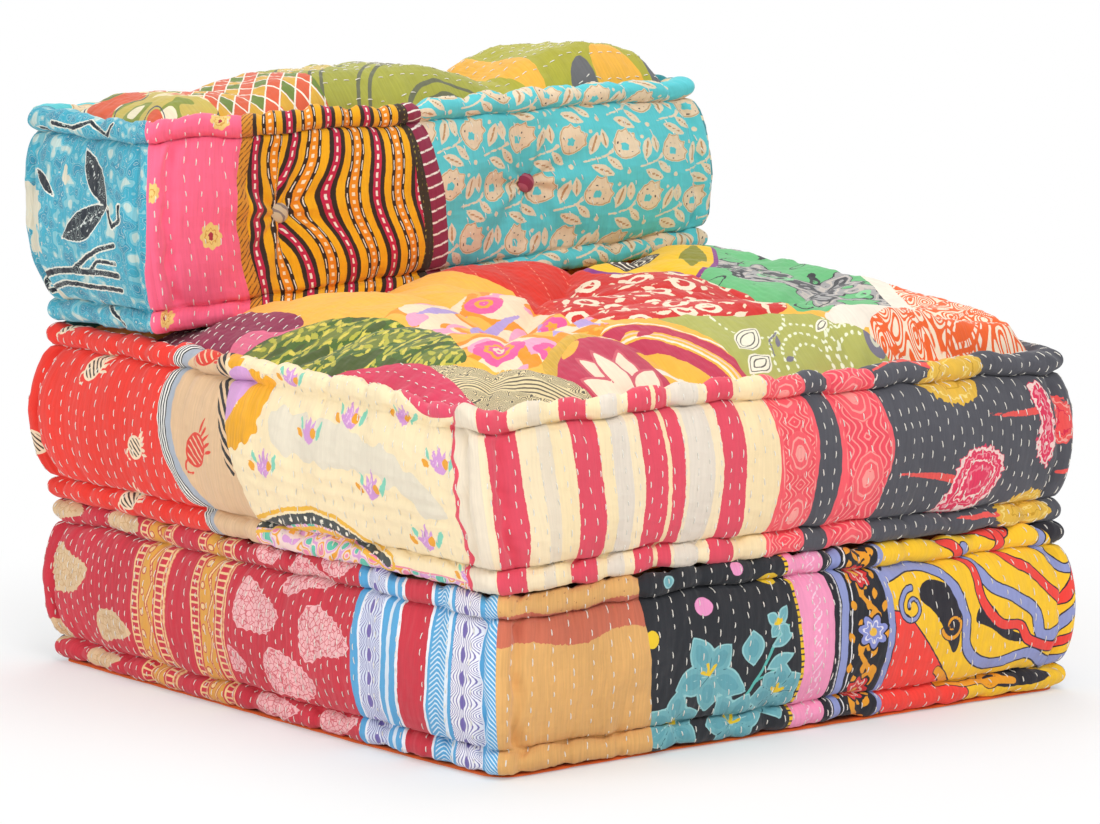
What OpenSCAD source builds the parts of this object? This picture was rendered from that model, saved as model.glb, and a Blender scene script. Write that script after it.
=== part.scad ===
// Patchwork floor pouf: three tufted, roll-edged mattress cushions stacked as base, seat and back.
// The front faces -Y, the back cushion lies along the rear, and Z = 0 is the floor.

/* [Base cushion] */
// Width of the base between its rolled edges
base_w = 760; // [700:5:800]
// Depth of the base between its rolled edges
base_d = 800; // [720:5:860]
// Height of the base
base_h = 180; // [140:5:240]
// Distance between the two columns of base tufts
base_tuft_x = 340; // [260:10:420]
// Distance between the two rows of base tufts
base_tuft_y = 360; // [280:10:440]
// Run over which the base's top climbs from its grooves to its flat middle
base_crown_run = 40; // [25:5:70]

/* [Seat cushion] */
// Width of the seat between its rolled edges
seat_w = 760; // [700:5:800]
// Depth of the seat between its rolled edges
seat_d = 800; // [720:5:860]
// Height of the seat's rolled edge along the front
seat_h = 180; // [150:5:210]
// How much higher the seat's overstuffed rear left corner stands
seat_rear_rise = 12; // [6:1:24]
// How much higher again its rear right corner stands
seat_right_rise = 40; // [20:2:44]
// How far the seat crowns above its rolled edges
seat_crown = 46; // [25:1:60]
// Run over which the seat climbs from its rolled edges to its crown
seat_crown_run = 140; // [80:5:170]
// Run over which the seat's crown falls towards the back cushion
seat_rear_run = 90; // [60:5:120]
// How far behind the back's face the seat's crown would reach its edge height
seat_rear_reach = 40; // [20:5:60]
// Run over which the part under the back climbs from the seat's grooves
seat_press_run = 70; // [50:5:90]
// Distance between the two columns of seat tufts
seat_tuft_x = 340; // [260:10:420]
// Distance from the seat's front edge to its front row of tufts
seat_tuft_in = 220; // [180:5:260]
// Distance from the back cushion's face to the rear row of seat tufts
seat_tuft_clear = 14; // [8:1:40]

/* [Back cushion] */
// Length of the back between its rolled edges
back_w = 745; // [690:5:780]
// Thickness of the back from front to rear
back_d = 240; // [200:5:280]
// Height of the back at its left end
back_left_h = 222; // [190:2:260]
// Height of the back at its right end
back_right_h = 200; // [170:2:240]
// Angle by which the uneven seat lifts the back's right end
back_tilt = 4.4; // [3.5:0.1:5]
// How much each end of the back draws in towards its top
back_draw_in = 9; // [0:1:20]
// How far the back's top crowns above its rolled edges
back_crown = 32; // [15:1:50]
// Depth of the creases that cross the back's top in line with its tufts
back_crease = 22; // [5:1:26]
// How far each crease reaches along the back's top to either side
back_crease_run = 110; // [70:5:140]
// Run over which the back's top climbs from its rolled edge to its crown
back_crown_run = 80; // [50:5:90]
// Distance from the back's left end to its first tuft
back_tuft_in = 165; // [130:5:220]
// Distance between the back's two tufts
back_tuft_x = 330; // [260:5:380]

/* [Borders and rolled edges] */
// Thickness of the base and seat borders, batting and rolled edge included
border_t = 27; // [25:1:34]
// Thickness of the rolled edges
roll_d = 24; // [18:1:26]
// Depth of the stitched groove beside a rolled edge
pinch = 9; // [4:1:12]
// How far the borders swell out past their rolled edges
swell = 12; // [4:1:16]
// Run over which a border swells, inwards from its rolled corners
swell_run = 90; // [60:5:110]

/* [Tufts] */
// Depth of the seat's tufts below its crown
seat_tuft_depth = 46; // [20:1:55]
// Depth of the base's tufts below its flattened top
base_tuft_depth = 26; // [12:1:40]
// How far the back's tufts lie inside its rolled edges
back_tuft_inset = 22; // [8:1:23]
// Radius of the hollow round a tuft
tuft_reach = 150; // [110:5:165]
// Diameter of the covered buttons
button_d = 22; // [16:1:30]
// Height of the dome of a button
button_h = 7; // [5:0.5:10]
// How far the rim of a button stands off the cloth round it
button_lift = 1.8; // [1.8:0.2:3]
// Diameter of the felt washers under the base and seat
washer_d = 30; // [20:1:40]
// Thickness of the felt washers
washer_t = 2; // [1:0.2:2.6]
// Diameter of the tufting twine
twine_d = 3; // [2:0.2:5]

/* [Cloth] */
// Thickness of the quilted top panels
top_t = 4; // [2.5:0.5:6]
// Thickness of the canvas-backed bottom panels
bottom_t = 4; // [3.5:0.5:6]
// How far the bottom panels lie inside the rolled edges
bottom_inset = 6; // [3:1:12]
// Gap between pieces that are sewn or pressed together
gap = 0.3; // [0.2:0.1:0.5]

/* [Hidden] */
$fn = 32;
orange = "#F2762E";
cotton = "#EFE6D2";
twine_colour = "#E9DFC8";

// Levels shared by all cushions, from the underside of each
border_foot = bottom_t + gap;
roll_r = roll_d / 2;
twine_hole_d = twine_d + 2 * gap;
// How far a cut runs past the face that it opens
past = 1;

// The seat stands on the base. The back stands on the seat, in line with its rear and left edges
seat_z = base_h + gap;
seat_rear_left_h = seat_h + seat_rear_rise;
seat_rear_right_h = seat_rear_left_h + seat_right_rise;
back_face_y = seat_d / 2 - back_d;
back_left_x = -seat_w / 2;
back_rest_z = seat_rear_left_h + 3 * gap;

// Tuft places as [x, y]; the seat's middle tuft lies between its two rows
seat_row_front = -seat_d / 2 + seat_tuft_in;
seat_row_rear = back_face_y - seat_tuft_clear;
seat_row_mid = (seat_row_front + seat_row_rear) / 2;
seat_tufts = [[0, seat_row_mid],
              for (x = [-1, 1] * seat_tuft_x / 2, y = [seat_row_front, seat_row_rear]) [x, y]];
base_tufts = [[0, 0],
              for (x = [-1, 1] * base_tuft_x / 2, y = [-1, 1] * base_tuft_y / 2) [x, y]];
back_tufts = [-back_w / 2 + back_tuft_in, -back_w / 2 + back_tuft_in + back_tuft_x];

function lerp(a, b, t) = a + (b - a) * t;

// Swelling curve: 0 at the seam, 1 from a run inwards, round like stuffed cloth
function rise(e, run) = sin(90 * max(0, min(1, e / run)));

// Height share of a pillow with half sizes hx and hy
function pillow(x, y, hx, hy, run) = rise(hx - abs(x), run) * rise(hy - abs(y), run);

// Depth of the hollows that tufts pull into a surface, pointed at each tuft
function tuft_dip(p, tufts, depth) =
    max([for (t = tufts) depth * pow(max(0, 1 - norm(p - t) / tuft_reach), 2)]);

// Height of a rolled edge at a place between four corners, front left first
function corner_h(h, u, v) = lerp(lerp(h[0], h[1], u), lerp(h[3], h[2], u), v);

// Borders: the padded side walls, with a roll along each edge

// Level half way up the swollen part of a border of height h, where tufts pull it in
function mid_level(h) = (border_foot + h - 0.15 * roll_d) / 2;

// Section of a border of height h, from its inner foot round to its inner top edge.
// Each point is [inset, z, swell share], with a share of -1 on the rolls
function border_rows(h) = let(
        low = border_foot + 1.05 * roll_d,
        high = h - 1.2 * roll_d)
    [[border_t, border_foot, -1],
     [0.75 * roll_r, border_foot, -1],
     [0, border_foot + 0.75 * roll_r, -1],
     [0.3 * pinch, border_foot + 0.75 * roll_d, -1],
     [pinch, low, 0],
     [0, lerp(low, high, 0.22), 0.72],
     [0, mid_level(h), 1],
     [0, lerp(low, high, 0.78), 0.72],
     [pinch, high, 0],
     [0.3 * pinch, h - 0.9 * roll_d, -1],
     [0, h - roll_r, -1],
     [0.3 * roll_r, h - 0.3 * roll_r, -1],
     [roll_r, h, -1],
     [1.7 * roll_r, h - 0.3 * pinch, -1],
     [border_t, h - pinch, -1]];

// Half length of the swollen part of a border of half length l
function swollen(l) = l - 1.15 * roll_d;

// Half length of a border of half length l along its swollen middle, where its columns are set
function mitred(l) = l - 0.3 * roll_r - gap / 2;

// Columns of a border of half length l: [place as a share of it, swell share or -1 on the rolls]
function border_columns(l, xs) = concat(
    [[-1, -1], [roll_r / l - 1, -1], [-swollen(l) / mitred(l), 0]],
    [for (x = xs) [x / mitred(l), rise(swollen(l) - abs(x), swell_run)]],
    [[swollen(l) / mitred(l), 0], [1 - roll_r / l, -1], [1, -1]]);

// Inset of the upright rolled corner where a row ends; rolls end on their own inset
function corner_inset(row) = row[2] < 0 ? row[0] : 0.3 * roll_r + 0.4 * pinch * (1 - row[2]);

// Inset of a border's outer face where a column meets a row
function border_inset(row, column) =
    row[2] < 0 || abs(column[0]) > 0.999 ? corner_inset(row)
    : column[1] < 0 ? 0.4 * pinch * (1 - row[2])
    : pinch - (pinch + swell) * row[2] * column[1];

// A point beside the front of a cushion, turned by quarter turns to another side
function turned(p, side) =
    side == 0 ? p
    : side == 1 ? [-p[1], p[0], p[2]]
    : side == 2 ? [-p[0], -p[1], p[2]]
    : [p[1], -p[0], p[2]];

// A point of a cushion of width w and height h whose ends draw in towards its top
function drawn(p, w, h, draw_in) = [p[0] * (1 - 2 * draw_in * p[2] / (w * h)), p[1], p[2]];

// Evenly spaced columns along the swollen part of a border of length l
function even_columns(l, n) = [for (i = [1:n]) lerp(-1, 1, i / (n + 1)) * swollen(l / 2)];

// The border on one side of a w by d cushion: 0 front, 1 right, 2 rear, 3 left.
// h holds the corner heights, front left first and anticlockwise. xs are its columns, and tufts
// the places along it where twine pulls it in to a given depth. Its ends are mitred
module border(side, w, d, h, xs, tufts = [], depth = 0, draw_in = 0) {
    l = (side % 2 == 0 ? w : d) / 2;
    off = (side % 2 == 0 ? d : w) / 2;
    h0 = h[side];
    h1 = h[(side + 1) % 4];
    columns = border_columns(l, xs);
    n = len(border_rows(h0));
    last = len(columns) - 1;
    points = [for (c = columns) let(rows = border_rows(lerp(h0, h1, (c[0] + 1) / 2)))
        for (row = rows) let(
            x = c[0] * (l - corner_inset(row) - gap / 2),
            hollow = row[2] < 0 || len(tufts) == 0 ? 0
                : tuft_dip([c[0] * mitred(l), row[1]], [for (t = tufts) [t, rows[6][1]]], depth))
        drawn(turned([x, border_inset(row, c) + hollow - off, row[1]], side), w, h[0], draw_in)];
    skin = [for (i = [0:last - 1], j = [0:n - 1]) let(
            a = i * n + j, b = i * n + (j + 1) % n, c = a + n, d = b + n)
        each [[a, b, c], [b, d, c]]];
    ends = [for (j = [0:n - 3]) each [[n - 1, j + 1, j],
                                      [last * n + n - 1, last * n + j, last * n + j + 1]]];
    polyhedron(points, concat(skin, ends), convexity = 4);
}

// Panels and cores: grids of points whose height is a function of place

// Grid lines from one edge to the other: three steps to each tuft line, then four to the edge
function grid_lines(low, t0, mid, t1, high) = concat(
    [for (s = [1, 0.88, 0.62, 0.3]) lerp(t0, low, s)],
    [for (s = [1, 0.66, 0.33, 0]) lerp(mid, t0, s)],
    [for (s = [0.33, 0.66, 1]) lerp(mid, t1, s)],
    [for (s = [0.3, 0.62, 0.88, 1]) lerp(t1, high, s)]);

// Triangles of an nx by ny grid of points that starts at index first, facing up or down
function grid_faces(nx, ny, first, up) = [
    for (j = [0:ny - 2], i = [0:nx - 2]) let(
        a = first + j * nx + i, b = a + 1, c = a + nx, d = c + 1)
    each up ? [[a, c, b], [b, c, d]] : [[a, b, c], [b, d, c]]];

// Indices round the edge of an nx by ny grid, anticlockwise from above
function rim(nx, ny) = concat(
    [for (i = [0:nx - 2]) i],
    [for (j = [0:ny - 2]) j * nx + nx - 1],
    [for (i = [nx - 1:-1:1]) (ny - 1) * nx + i],
    [for (j = [ny - 1:-1:1]) j * nx]);

// Cloth under the surface top(x, y) of a cushion that may draw in towards its top
module panel(xs, ys, top, w = 1, h = 1, draw_in = 0) {
    nx = len(xs);
    ny = len(ys);
    edge = rim(nx, ny);
    below = nx * ny;
    points = [for (z = [0, -top_t], y = ys, x = xs) drawn([x, y, top(x, y) + z], w, h, draw_in)];
    faces = concat(
        grid_faces(nx, ny, 0, true), grid_faces(nx, ny, below, false),
        [for (k = [0:len(edge) - 1]) let(a = edge[k], b = edge[(k + 1) % len(edge)])
            each [[a, b, below + a], [b, below + b, below + a]]]);
    polyhedron(points, faces, convexity = 6);
}

// Filling between the bottom panel and the top panel under the surface top(x, y)
module filling(xs, ys, top, w = 1, h = 1, draw_in = 0) {
    nx = len(xs);
    ny = len(ys);
    edge = rim(nx, ny);
    n = len(edge);
    below = nx * ny;
    points = [for (p = concat(
            [for (y = ys, x = xs) [x, y, top(x, y) - top_t - gap]],
            [for (k = edge) [xs[k % nx], ys[floor(k / nx)], border_foot]],
            [[xs[floor(nx / 2)], ys[floor(ny / 2)], border_foot]]))
        drawn(p, w, h, draw_in)];
    faces = concat(
        grid_faces(nx, ny, 0, true),
        [for (k = [0:n - 1]) let(next = (k + 1) % n) each [
            [edge[k], edge[next], below + k],
            [edge[next], below + next, below + k],
            [below + k, below + next, below + n]]]);
    polyhedron(points, faces, convexity = 6);
}

// Flat bottom panel of a w by d cushion, hollowed under each tuft for its washer
module bottom_panel(w, d, tufts = []) {
    corner = roll_d;
    w1 = w - 2 * bottom_inset;
    d1 = d - 2 * bottom_inset;
    difference() {
        union() {
            translate([-w1 / 2 + corner, -d1 / 2, 0]) cube([w1 - 2 * corner, d1, bottom_t]);
            translate([-w1 / 2, -d1 / 2 + corner, 0]) cube([w1, d1 - 2 * corner, bottom_t]);
            for (x = [-1, 1] * (w1 / 2 - corner), y = [-1, 1] * (d1 / 2 - corner))
                translate([x, y, 0]) cylinder(r = corner, h = bottom_t);
        }
        for (t = tufts) translate([t[0], t[1], -past])
            cylinder(d = washer_d + 4 * gap, h = past + washer_t + 2 * gap);
        tuft_holes(tufts, bottom_t);
    }
}

// Tufts: a covered button above, twine through the filling and a washer below

// Upright twine holes through whatever lies between z = 0 and a height h
module tuft_holes(tufts, h) for (t = tufts) translate([t[0], t[1], -past])
    cylinder(d = twine_hole_d, h = h + 2 * past);

// How far a surface climbs from a tuft of a given depth to the rim of its button
function button_seat(depth) = depth * (1 - pow(1 - button_d / 2 / tuft_reach, 2));

// Covered button, domed along +Z, whose cone-shaped back fills the point of a tuft's hollow
module button(depth) rotate_extrude() polygon(concat(
    [[0, gap]],
    [for (a = [0:15:90]) [button_d / 2 * cos(a),
                          button_seat(depth) + button_lift + button_h * sin(a)]]));

module felt_washer() difference() {
    cylinder(d = washer_d, h = washer_t);
    translate([0, 0, -past]) cylinder(d = twine_hole_d, h = washer_t + 2 * past);
}

// A tie of a cushion whose top is top(x, y), from within its washer to the cloth under its button
module tie(t, top) translate([t[0], t[1], gap]) cylinder(d = twine_d, h = top(t[0], t[1]) - gap);

// Base cushion: a flat top, pressed level by the seat
base_corners = [base_h, base_h, base_h, base_h];
base_hx = base_w / 2 - border_t;
base_hy = base_d / 2 - border_t;
base_xs = grid_lines(-base_hx + gap, -base_tuft_x / 2, 0, base_tuft_x / 2, base_hx - gap);
base_ys = grid_lines(-base_hy + gap, -base_tuft_y / 2, 0, base_tuft_y / 2, base_hy - gap);
base_top = function(x, y)
    base_h - pinch * (1 - pillow(x, y, base_hx, base_hy, base_crown_run))
    - tuft_dip([x, y], base_tufts, base_tuft_depth);

module base_border(side)
    border(side, base_w, base_d, base_corners, even_columns(side % 2 == 0 ? base_w : base_d, 7));

module base_core() color(cotton) difference() {
    filling(base_xs, base_ys, base_top);
    tuft_holes(base_tufts, base_h);
}
module base_top_panel() color("#C9B07A") difference() {
    panel(base_xs, base_ys, base_top);
    tuft_holes(base_tufts, base_h);
}
module base_bottom_panel() color(orange) bottom_panel(base_w, base_d, base_tufts);
module base_front_border() color("#D9A35C") base_border(0);
module base_right_border() color("#8E7FB5") base_border(1);
module base_rear_border() color("#3E6F8E") base_border(2);
module base_left_border() color("#C4364A") base_border(3);
module base_buttons() color("#8C2B3E") for (t = base_tufts)
    translate([t[0], t[1], base_top(t[0], t[1])]) button(base_tuft_depth);
module base_washers() color(cotton) for (t = base_tufts)
    translate([t[0], t[1], gap]) felt_washer();
module base_twine() color(twine_colour) for (t = base_tufts) tie(t, base_top);

// Seat cushion: crowned in front of the back, flattened to a slope under it
seat_corners = [seat_h, seat_h, seat_rear_right_h, seat_rear_left_h];
seat_hx = seat_w / 2 - border_t;
seat_hy = seat_d / 2 - border_t;
seat_xs = grid_lines(-seat_hx + gap, -seat_tuft_x / 2, 0, seat_tuft_x / 2, seat_hx - gap);
// The rear lines start at the back's face, behind the rear row of tufts
seat_ys = concat(
    [for (s = [1, 0.88, 0.62, 0.3]) lerp(seat_row_front, -seat_hy + gap, s)],
    [for (s = [1, 0.66, 0.33, 0]) lerp(seat_row_mid, seat_row_front, s)],
    [for (s = [0.33, 0.66, 1]) lerp(seat_row_mid, seat_row_rear, s)],
    [for (s = [0, 0.4, 0.8, 1]) lerp(back_face_y, seat_hy - gap, s)]);
seat_edge = function(x, y) corner_h(seat_corners, x / seat_w + 0.5, y / seat_d + 0.5) - pinch;
seat_swell = function(x, y)
    pillow(x, y, seat_hx, seat_hy, seat_crown_run)
    * rise(back_face_y + seat_rear_reach - y, seat_rear_run);
seat_crowned = function(x, y)
    seat_edge(x, y) + (pinch + seat_crown - tuft_dip([x, y], seat_tufts, seat_tuft_depth))
    * seat_swell(x, y);
back_underside = function(x) back_rest_z + (x - back_left_x) * tan(back_tilt) - gap;
seat_pressed = function(x, y)
    lerp(seat_edge(x, y), back_underside(x), pillow(x, y, seat_hx, seat_hy, seat_press_run));
seat_top = function(x, y)
    y < back_face_y - gap ? seat_crowned(x, y)
    : y < back_face_y + gap ? min(seat_crowned(x, y), seat_pressed(x, y))
    : seat_pressed(x, y);

module in_seat() translate([0, 0, seat_z]) children();
module seat_border(side) in_seat()
    border(side, seat_w, seat_d, seat_corners, even_columns(side % 2 == 0 ? seat_w : seat_d, 7));

module seat_core() color(cotton) in_seat() difference() {
    filling(seat_xs, seat_ys, seat_top);
    tuft_holes(seat_tufts, seat_rear_right_h + seat_crown);
}
module seat_top_panel() color("#E8B64A") in_seat() difference() {
    panel(seat_xs, seat_ys, seat_top);
    tuft_holes(seat_tufts, seat_rear_right_h + seat_crown);
}
module seat_bottom_panel() color(orange) in_seat() bottom_panel(seat_w, seat_d, seat_tufts);
module seat_front_border() color("#F2E2BC") seat_border(0);
module seat_right_border() color("#5C6A8C") seat_border(1);
module seat_rear_border() color("#4E8C6A") seat_border(2);
module seat_left_border() color("#E8432E") seat_border(3);
module seat_buttons() color("#5A1F33") in_seat() for (t = seat_tufts)
    translate([t[0], t[1], seat_top(t[0], t[1])]) button(seat_tuft_depth);
module seat_washers() color(cotton) in_seat() for (t = seat_tufts)
    translate([t[0], t[1], gap]) felt_washer();
module seat_twine() color(twine_colour) in_seat() for (t = seat_tufts) tie(t, seat_top);

// Back cushion: stands on the sloping part of the seat, tufted from front to rear
back_corners = [back_left_h, back_right_h, back_right_h, back_left_h];
back_hx = back_w / 2 - border_t;
back_hy = back_d / 2 - border_t;
back_xs = grid_lines(-back_hx + gap, back_tufts[0], (back_tufts[0] + back_tufts[1]) / 2,
                     back_tufts[1], back_hx - gap);
back_ys = [for (s = [-1, -0.8, -0.45, 0, 0.45, 0.8, 1]) s * (back_hy - gap)];
back_h = function(x) lerp(back_left_h, back_right_h, x / back_w + 0.5);
back_top = function(x, y)
    back_h(x) - pinch
    + (pinch + back_crown
       - back_crease * max([for (t = back_tufts) 1 - rise(abs(x - t), back_crease_run)]))
      * pillow(x, y, back_hx, back_hy, back_crown_run);

// Columns of the back's long borders, drawn closer beside its tufts
back_columns = let(low = -swollen(back_w / 2), high = -low, t0 = back_tufts[0], t1 = back_tufts[1])
    [lerp(low, t0, 0.35), lerp(low, t0, 0.7), t0, lerp(t0, t1, 0.2), lerp(t0, t1, 0.5),
     lerp(t0, t1, 0.8), t1, lerp(t1, high, 0.2), lerp(t1, high, 0.5), lerp(t1, high, 0.75)];

// Depth of the back's tufts below its swollen faces
back_tuft_depth = back_tuft_inset + swell;

module in_back() translate([back_left_x, back_face_y + back_d / 2, seat_z + back_rest_z])
    rotate([0, -back_tilt, 0]) translate([back_w / 2, 0, gap]) children();
// Place of a back tuft inside the cushion, moved as the ends draw in
function back_tuft_at(t, y) = drawn([t, y, mid_level(back_h(t))], back_w, back_left_h, back_draw_in);
module back_holes() for (t = back_tufts) translate(back_tuft_at(t, back_d))
    rotate([90, 0, 0]) cylinder(d = twine_hole_d, h = 2 * back_d);
module back_long_border(side) in_back() difference() {
    border(side, back_w, back_d, back_corners,
           side == 0 ? back_columns : [for (i = [len(back_columns) - 1:-1:0]) -back_columns[i]],
           side == 0 ? back_tufts : [-back_tufts[1], -back_tufts[0]],
           back_tuft_depth, back_draw_in);
    back_holes();
}
module back_end_border(side) in_back()
    border(side, back_w, back_d, back_corners, even_columns(back_d, 3), draw_in = back_draw_in);
module back_button_row(turn) in_back() for (t = back_tufts)
    translate(back_tuft_at(t, 0)) rotate([0, 0, turn])
        translate([0, back_tuft_inset - back_d / 2, 0]) rotate([90, 0, 0])
            button(back_tuft_depth);

module back_core() color(cotton) in_back() difference() {
    filling(back_xs, back_ys, back_top, back_w, back_left_h, back_draw_in);
    back_holes();
}
module back_top_panel() color("#9BA03C") in_back()
    panel(back_xs, back_ys, back_top, back_w, back_left_h, back_draw_in);
module back_bottom_panel() color(orange) in_back() bottom_panel(back_w, back_d);
module back_front_border() color("#4FC3C6") back_long_border(0);
module back_right_border() color("#7A3B2E") back_end_border(1);
module back_rear_border() color("#B8562F") back_long_border(2);
module back_left_border() color("#3FA9C0") back_end_border(3);
module back_front_buttons() color("#8C2B3E") back_button_row(0);
module back_rear_buttons() color("#8C2B3E") back_button_row(180);
module back_twine() color(twine_colour) in_back() for (t = back_tufts)
    translate(back_tuft_at(t, back_d / 2 - back_tuft_inset))
        rotate([90, 0, 0]) cylinder(d = twine_d, h = back_d - 2 * back_tuft_inset);

base_core();
base_top_panel();
base_bottom_panel();
base_front_border();
base_right_border();
base_rear_border();
base_left_border();
base_buttons();
base_washers();
base_twine();
seat_core();
seat_top_panel();
seat_bottom_panel();
seat_front_border();
seat_right_border();
seat_rear_border();
seat_left_border();
seat_buttons();
seat_washers();
seat_twine();
back_core();
back_top_panel();
back_bottom_panel();
back_front_border();
back_right_border();
back_rear_border();
back_left_border();
back_front_buttons();
back_rear_buttons();
back_twine();
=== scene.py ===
"""Patchwork floor pouf: three tufted, roll-edged mattress cushions, stacked as base, seat and back.
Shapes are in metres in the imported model's frame. Cloth is measured in centimetres: x along a
border or across a top, y up a border from its lower seam or from front to back of a top."""
from types import SimpleNamespace

import bpy
import numpy as np
from numpy import (arange, array, clip, concatenate, cos, exp, full, hypot, interp, linspace, maximum,
    minimum, mod, pi, sin, stack, where, zeros)
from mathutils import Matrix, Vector


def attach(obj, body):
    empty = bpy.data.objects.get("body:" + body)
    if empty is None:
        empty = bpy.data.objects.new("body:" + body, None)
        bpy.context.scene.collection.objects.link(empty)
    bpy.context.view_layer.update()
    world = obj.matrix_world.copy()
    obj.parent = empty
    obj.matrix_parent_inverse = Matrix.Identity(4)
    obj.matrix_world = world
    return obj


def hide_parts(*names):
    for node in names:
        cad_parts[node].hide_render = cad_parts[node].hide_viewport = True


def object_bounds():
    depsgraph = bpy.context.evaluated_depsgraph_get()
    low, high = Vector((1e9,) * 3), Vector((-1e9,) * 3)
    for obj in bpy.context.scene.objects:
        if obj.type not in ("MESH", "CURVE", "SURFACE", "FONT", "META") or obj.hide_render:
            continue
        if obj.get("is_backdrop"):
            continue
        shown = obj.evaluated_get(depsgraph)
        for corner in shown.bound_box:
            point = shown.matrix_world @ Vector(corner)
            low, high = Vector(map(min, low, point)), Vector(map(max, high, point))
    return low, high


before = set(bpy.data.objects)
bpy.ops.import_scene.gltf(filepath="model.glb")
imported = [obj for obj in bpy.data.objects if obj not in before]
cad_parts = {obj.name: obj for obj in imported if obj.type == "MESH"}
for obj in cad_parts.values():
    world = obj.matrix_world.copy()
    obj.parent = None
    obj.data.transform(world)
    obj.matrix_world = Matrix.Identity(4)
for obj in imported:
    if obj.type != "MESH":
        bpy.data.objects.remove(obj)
cad_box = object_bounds()

# Batting cores
# Each cushion is hand packed with layers of cotton batting. The covers are sewn round it, so it
# fills them to the seams, with a slightly lumpy surface. It lies loose inside, held by the tufts.


def linear(hex_colour):
    """Linear RGBA of an sRGB hex colour: c / 12.92 when dark, else ((c + 0.055) / 1.055) ** 2.4."""
    c = array([int(hex_colour[i:i + 2], 16) for i in (1, 3, 5)]) / 255
    return (*where(c < 0.04045, c / 12.92, ((c + 0.055) / 1.055) ** 2.4), 1.0)


def add(tree, kind, inputs=(), **settings):
    """Adds one node with its settings. inputs maps a socket's name or number to a value or link."""
    made = tree.nodes.new(kind)
    for key, value in settings.items():
        setattr(made, key, value)
    for key, value in dict(inputs).items():
        if isinstance(value, bpy.types.NodeSocket):
            tree.links.new(value, made.inputs[key])
        else:
            made.inputs[key].default_value = value
    return made


def new_material(name):
    """A material with an empty tree, the tree, and the tree's output node."""
    material = bpy.data.materials.new(name)
    material.use_nodes = True
    material.node_tree.nodes.clear()
    return material, material.node_tree, material.node_tree.nodes.new("ShaderNodeOutputMaterial")


def surface(tree, out, colour, height, distance, looks, strength=1.0):
    """Ends a tree with a surface of one colour, relief and looks."""
    relief = add(tree, "ShaderNodeBump", {"Height": height, "Distance": distance, "Strength": strength})
    skin = add(tree, "ShaderNodeBsdfPrincipled", {"Base Color": colour, "IOR": 1.5,
        "Normal": relief.outputs[0], **looks})
    tree.links.new(skin.outputs[0], out.inputs[0])


def fibre(name, colour, width, bump, sheen):
    """Loose or felted fibre: rough, softly sheened, a tangle of strands about `width` metres wide."""
    material, tree, out = new_material(name)
    place = add(tree, "ShaderNodeTexCoord").outputs["Object"]
    tangle = add(tree, "ShaderNodeTexNoise", {"Vector": place, "Scale": 1 / width, "Detail": 5.0,
        "Distortion": 1.2}).outputs[0]
    clumps = add(tree, "ShaderNodeTexNoise", {"Vector": place, "Scale": 30.0}).outputs[0]
    shade = add(tree, "ShaderNodeMapRange", {0: clumps, 1: 0.3, 2: 0.7, 3: 0.86, 4: 1.05}).outputs[0]
    tone = add(tree, "ShaderNodeVectorMath", {0: linear(colour)[:3], "Scale": shade},
        operation="SCALE").outputs[0]
    surface(tree, out, tone, tangle, bump, {"Roughness": 0.95, "Sheen Weight": sheen,
        "Sheen Roughness": 0.6})
    return material


def ripple(x, y, fine, coarse, seed, waves=12):
    """Uneven surface of about -1 to 1: a sum of seeded plane sine waves, their lengths evenly spaced
    in ratio from fine to coarse, over the root of their number."""
    rng = np.random.default_rng(seed)
    total = zeros(np.broadcast(x, y).shape)
    for length, turn, phase in zip(np.geomspace(fine, coarse, waves), rng.uniform(0, pi, waves),
            rng.uniform(0, 2 * pi, waves)):
        total += sin(2 * pi * (x * cos(turn) + y * sin(turn)) / length + phase)
    return total / np.sqrt(waves)


def read(mesh, what, field, width):
    """One field of all of a mesh's vertices or corners, as rows."""
    rows = zeros(len(getattr(mesh, what)) * width, np.float32)
    getattr(mesh, what).foreach_get(field, rows)
    return rows.reshape(-1, width)


def show(name, data):
    """Puts a mesh, a lamp or a camera in the scene."""
    piece = bpy.data.objects.new(name, data)
    bpy.context.scene.collection.objects.link(piece)
    return piece


batting = fibre("cotton_batting_fibre", "#EFE6D2", 0.003, 0.002, 0.3)
for name, body in (("base", "base_cushion"), ("seat", "seat_cushion"), ("back", "back_cushion")):
    rough = show("rough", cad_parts[name + "_core"].data.copy())
    rough.modifiers.new("lumps", "REMESH").voxel_size = 0.01
    shape = bpy.data.meshes.new_from_object(rough.evaluated_get(bpy.context.evaluated_depsgraph_get()))
    bpy.data.objects.remove(rough)
    co = read(shape, "vertices", "co", 3)
    normal = read(shape, "vertex_normals", "vector", 3)
    # The surface is drawn in by 2 to 8 mm, so that it stays under the pleats of the cover
    lumps = 0.005 - 0.003 * ripple(co[:, 0] + co[:, 2], co[:, 1] - co[:, 2], 0.03, 0.12, 5)
    shape.vertices.foreach_set("co", (co - normal * lumps[:, None]).ravel())
    shape.materials.clear()
    shape.materials.append(batting)
    core = show(name + "_batting", shape)
    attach(core, body)
    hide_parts(name + "_core")

# Base borders
# The base's side walls: strips of patchwork quilted with running stitches over batting. Mattress
# stitches draw a thick roll along each edge and up each corner, and the wall between swells out.

ROLL = 0.012  # radius of the rolled edges
PINCH = 0.009  # depth of the stitched groove beside a roll
SWELL = 0.012  # how far the walls swell out past the rolls
HEM = 100 * ROLL * pi  # cloth round the bottom roll, in cm
BEAD = 150 * ROLL * pi  # cloth round the top roll, in cm
WALL = 12.7  # cloth up the wall of the base and the seat, in cm


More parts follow.
